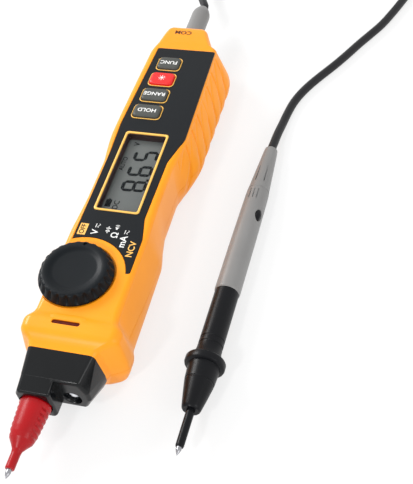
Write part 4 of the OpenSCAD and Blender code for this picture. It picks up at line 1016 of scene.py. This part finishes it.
def pen_body():
    """Black front half: ring lines, guard disc and the stepped cone."""
    r = PEN_R - 0.25
    points = [(74.4, 0.1), (74.4, r), (91, r), (95.4, r), (95.6, r - 0.2), (96.1, r - 0.2), (96.3, r), (97.8, r),
              (98.0, r - 0.2), (98.5, r - 0.2), (98.7, r), (100.2, r + 0.05), (102.0, r + 0.4), (103.1, 5.2),
              (103.5, 6.1), (103.8, 6.7), (104.3, 7.0), (105.9, 7.0), (106.4, 6.8), (106.7, 6.2), (106.8, 5.6),
              (107.2, 5.5), (112.4, 5.1), (112.6, 4.9), (113.0, 4.9), (113.2, 5.0), (118, 4.15), (122.2, 3.35),
              (122.9, 3.15), (123.3, 2.8), (123.3, 1.5)]
    settle(lathe("pen_front", points, PEN_PLACE, 96), PEN, "lead", 35, "pen_body")


def pen_tip():
    points = [(117.3, 0.95), (117.3, 1.2), (123.3, 1.2), (123.3, 1.5), (123.8, 1.45), (136, 1.4), (136.5, 1.25),
              (136.6, 0.95)]
    settle(lathe("pen_sleeve", points, PEN_PLACE, 48), PEN, "lead", 35, "pen_tip_sleeve")
    points = [(117.3, 0.05), (117.3, 0.9), (137.5, 0.9), (138.3, 0.62), (139.1, 0.25), (139.5, 0.03)]
    settle(lathe("pen_point", points, PEN_PLACE, 40), STEEL, "lead", 35, "pen_needle")


def probe_point():
    low, high = mm_box("probe_needle")
    x, _, z = mm_middle("probe_needle")
    long = high.y - low.y
    points = [(0, 0.05), (0, 0.9)] + [(long - back, r) for back, r in NEEDLE_END]
    settle(lathe("probe_point", points, facing((x, high.y, z), -1), 40), STEEL, "probe", 35, "probe_needle")


def slot_pad():
    """Soft raised pad round the alarm slot on the guard."""
    levels = ((0.06, -1.2), (0.06, 0.42), (0.5, 0.56), (1.6, 0.5), (2.6, 0.2), (2.9, -0.6), (2.9, -1.2))
    pad = loop_skin("alarm_pad", levelled([(slot_outline(grow), CASE_H + up) for grow, up in levels]))
    settle(pad, ORANGE, "case", 50)


def jack_mouth():
    """Black bush of the COM jack, seen round the plug."""
    ends = [(COM_Y - 12, 4.4), (COM_Y - 0.4, 4.4), (COM_Y - 0.1, 4.6), (COM_Y - 0.1, JACK_R), (COM_Y - 12, JACK_R)]
    settle(loop_skin("jack_bush", turned(ends, facing((JACK_X, 0, JACK_Z)), 72)), BLACK, "case")


# Cord: the route of the construction, with the coil worked out by its formula
CORD_D = 3.6
ROUTE_PLUG = [(-6.4, 140, 12.4), (-9, 147.5, 9.6), (-9.6, 155, 6), (-7.6, 162.5, 3.4), (-3.6, 169.5, 2.1),
              (1.6, 176, 1.8), (8, 181.5, 1.8), (15, 185.2, 1.8), (22.5, 187.6, 1.8), (29.5, 190, 1.8),
              (35.2, 194, 1.8), (38.6, 198.6, 1.8)]
ROUTE_PEN = [(43.5, 60, 3.6), (43.8, 66, 3), (44.4, 73, 2.1), (45.2, 80, 1.8), (46.5, 87, 1.8), (48.7, 93.5, 1.8),
             (51.8, 100, 1.8), (55.6, 106.6, 1.8), (59.8, 113.5, 1.8), (64.2, 121.5, 1.8), (68.6, 130, 1.8),
             (72.8, 137.5, 1.8), (76.8, 145, 1.8), (80.4, 154, 1.8), (83.6, 163, 1.8), (86.2, 171, 1.9),
             (88.3, 180, 2.6), (89.3, 188, 4.2), (89.5, 195, 5.5)]
COIL_X, COIL_Y, COIL_R = 64.5, 205, 25
COIL_TURNS = 4.5
COIL_STEP = CORD_D + 0.5


def coil_points():
    count = round(24 * COIL_TURNS)
    points = [Vector((COIL_X - COIL_R, COIL_Y - CORD_D, CORD_D / 2))]
    for j in range(count + 1):
        spin = COIL_TURNS * j / count
        a = math.pi - 2 * math.pi * spin
        r = COIL_R - COIL_STEP * (COIL_TURNS / 2 - abs(spin - COIL_TURNS / 2))
        lift = CORD_D / 2 + COIL_STEP * min(1, max(0, (spin - COIL_TURNS / 2) * 2 + 0.5))
        points.append(Vector((COIL_X + r * math.cos(a), COIL_Y + r * math.sin(a), lift)))
    points.append(Vector((COIL_X + COIL_R, COIL_Y - CORD_D, CORD_D / 2 + COIL_STEP)))
    return points


def curve_through(points, steps):
    out = []
    for i in range(len(points) - 1):
        p0, p1, p2, p3 = points[max(i - 1, 0)], points[i], points[i + 1], points[min(i + 2, len(points) - 1)]
        for j in range(steps):
            t = j / steps
            bend, twist = 2 * p0 - 5 * p1 + 4 * p2 - p3, 3 * p1 - p0 - 3 * p2 + p3
            out.append(0.5 * (2 * p1 + (p2 - p0) * t + bend * t * t + twist * t ** 3))
    out.append(points[-1])
    return out


def cord():
    middle = mm_middle("plug_body")
    start = Vector((middle.x, mm_box("plug_body")[1].y, middle.z))
    first = [start, start + Vector((0, 2.6, 0))] + [Vector(p) for p in ROUTE_PLUG]
    last = [Vector(p) for p in reversed(ROUTE_PEN)]
    back = PEN_PLACE.to_3x3() @ Vector((0, 0, -1))
    route = curve_through(first + coil_points() + last + [PEN_REAR + back * 1.5, PEN_REAR], 3)
    data = bpy.data.curves.new("test_cord", "CURVE")
    data.dimensions = "3D"
    data.bevel_depth = CORD_D / 2 * MM
    data.bevel_resolution = 5
    data.use_fill_caps = True
    spline = data.splines.new("POLY")
    spline.points.add(len(route) - 1)
    for point, place in zip(spline.points, route):
        point.co = (*(place * MM), 1)
    spline.use_smooth = True
    data.materials.append(CORD)
    obj = new_object("test_cord", data)
    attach(obj, "lead")
    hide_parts("lead_at_plug", "lead_coil", "lead_at_pen")


for build in (upper_case, lower_case, faceplate, battery_door, display, dial_legends, keys, knob, nose_cap, red_probe,
              probe_point, lead_plug, pen_grip, pen_body, pen_tip, slot_pad, jack_mouth, cord):
    build()
legend("mark_com", "COM", (-3.2, 99.6, CASE_H - 0.2), 2.4, PRINT_DARK, turn=180)

# Materials of the construction's own pieces
NODE_FINISH = {
    WINDOW: ["lcd_window"], BEZEL_DARK_AND_REFLECTION: ["lcd_bezel"], LCD: ["lcd_glass"], GUIDE: ["backlight_panel"],
    ZEBRA: ["zebra_strips"], BOARD: ["main_board"], CHIP: ["circuit_packages"], CERAMIC: ["fuse"], BRASS: ["buzzer"],
    GOLD: ["switch_tracks", "wiper_contacts", "com_jack", "probe_socket", "door_insert"],
    STEEL: ["fuse_clips", "battery_springs", "battery_plates", "detent_springs", "detent_balls", "probe_pin",
            "plug_pin"],
    CELL: ["cell_left", "cell_right"], SCREW: ["case_screws", "board_screws", "door_screw"], LED: ["torch_led"],
    SLOT: ["alarm_window"], RED_LED: ["alarm_led"], COPPER: ["sensing_plate"], WHITE: ["switch_rotor"],
    BLACK: ["com_jack_sleeve"],
    RUBBER: ["hold_dome", "range_dome", "light_dome", "func_dome"]}
for material, nodes in NODE_FINISH.items():
    for name in nodes:
        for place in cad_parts[name].material_slots:
            place.material = material


# Floor, light and world
def maths(tree, operation, *inputs):
    """A sum on sockets or plain numbers."""
    node = add_node(tree, "Math")
    node.operation = operation
    for socket, value in zip(node.inputs, inputs):
        if isinstance(value, float):
            socket.default_value = value
        else:
            link(tree, value, socket)
    return node.outputs[0]


def seen_directly(tree):
    """One where a camera, mirror or glass ray looks, nought for light that falls on the object."""
    path = add_node(tree, "LightPath").outputs
    first = maths(tree, "MAXIMUM", path["Is Camera Ray"], path["Is Glossy Ray"])
    return maths(tree, "MAXIMUM", first, path["Is Transmission Ray"])


FLOOR_HALF = 4000
FLOOR_Z = -0.02
FLOOR_GLOW = 0.72


def make_floor():
    corners = box_shape(-FLOOR_HALF, FLOOR_HALF, -FLOOR_HALF, FLOOR_HALF)
    floor = make_object("floor", [(x, y, FLOOR_Z) for x, y in corners], [[0, 1, 2, 3]])
    mat = bpy.data.materials.new("floor_white")
    mat.use_nodes = True
    tree = mat.node_tree
    tree.nodes.clear()
    out = add_node(tree, "OutputMaterial")
    plain = add_node(tree, "BsdfDiffuse", Color=(0.93, 0.93, 0.93, 1))
    glow = add_node(tree, "Emission", Color=(1, 1, 1, 1))
    mix = add_node(tree, "MixShader")
    link(tree, maths(tree, "MULTIPLY", seen_directly(tree), FLOOR_GLOW), mix.inputs["Fac"])
    link(tree, plain.outputs[0], mix.inputs[1])
    link(tree, glow.outputs[0], mix.inputs[2])
    link(tree, mix.outputs[0], out.inputs["Surface"])
    floor.data.materials.append(mat)


def area_light(name, place, aim, size, power):
    data = bpy.data.lights.new(name, "AREA")
    data.shape = "DISK"
    data.size = size
    data.energy = power
    place = Vector(place)
    turn = (place - Vector(aim)).to_track_quat("Z", "Y")
    new_object(name, data).matrix_world = Matrix.Translation(place) @ turn.to_matrix().to_4x4()


def make_world():
    """Even white round the object, a little dimmer as light than as background."""
    world = bpy.data.worlds.new("studio")
    bpy.context.scene.world = world
    world.use_nodes = True
    tree = world.node_tree
    back = tree.nodes["Background"]
    back.inputs["Color"].default_value = (1, 1, 1, 1)
    level = add_node(tree, "MapRange", To_Min=0.78, To_Max=1.0)
    link(tree, seen_directly(tree), level.inputs["Value"])
    link(tree, level.outputs["Result"], back.inputs["Strength"])


make_floor()
make_world()
area_light("key", (-0.78, 0.42, 0.62), (0.02, 0.02, 0), 0.4, 7.5)
area_light("front", (-0.25, -0.72, 0.75), (0.0, -0.03, 0), 0.12, 3.2)
area_light("side", (0.8, -0.3, 0.5), (0.0, 0.0, 0), 0.5, 2.0)
bpy.context.scene.view_settings.view_transform = "Standard"
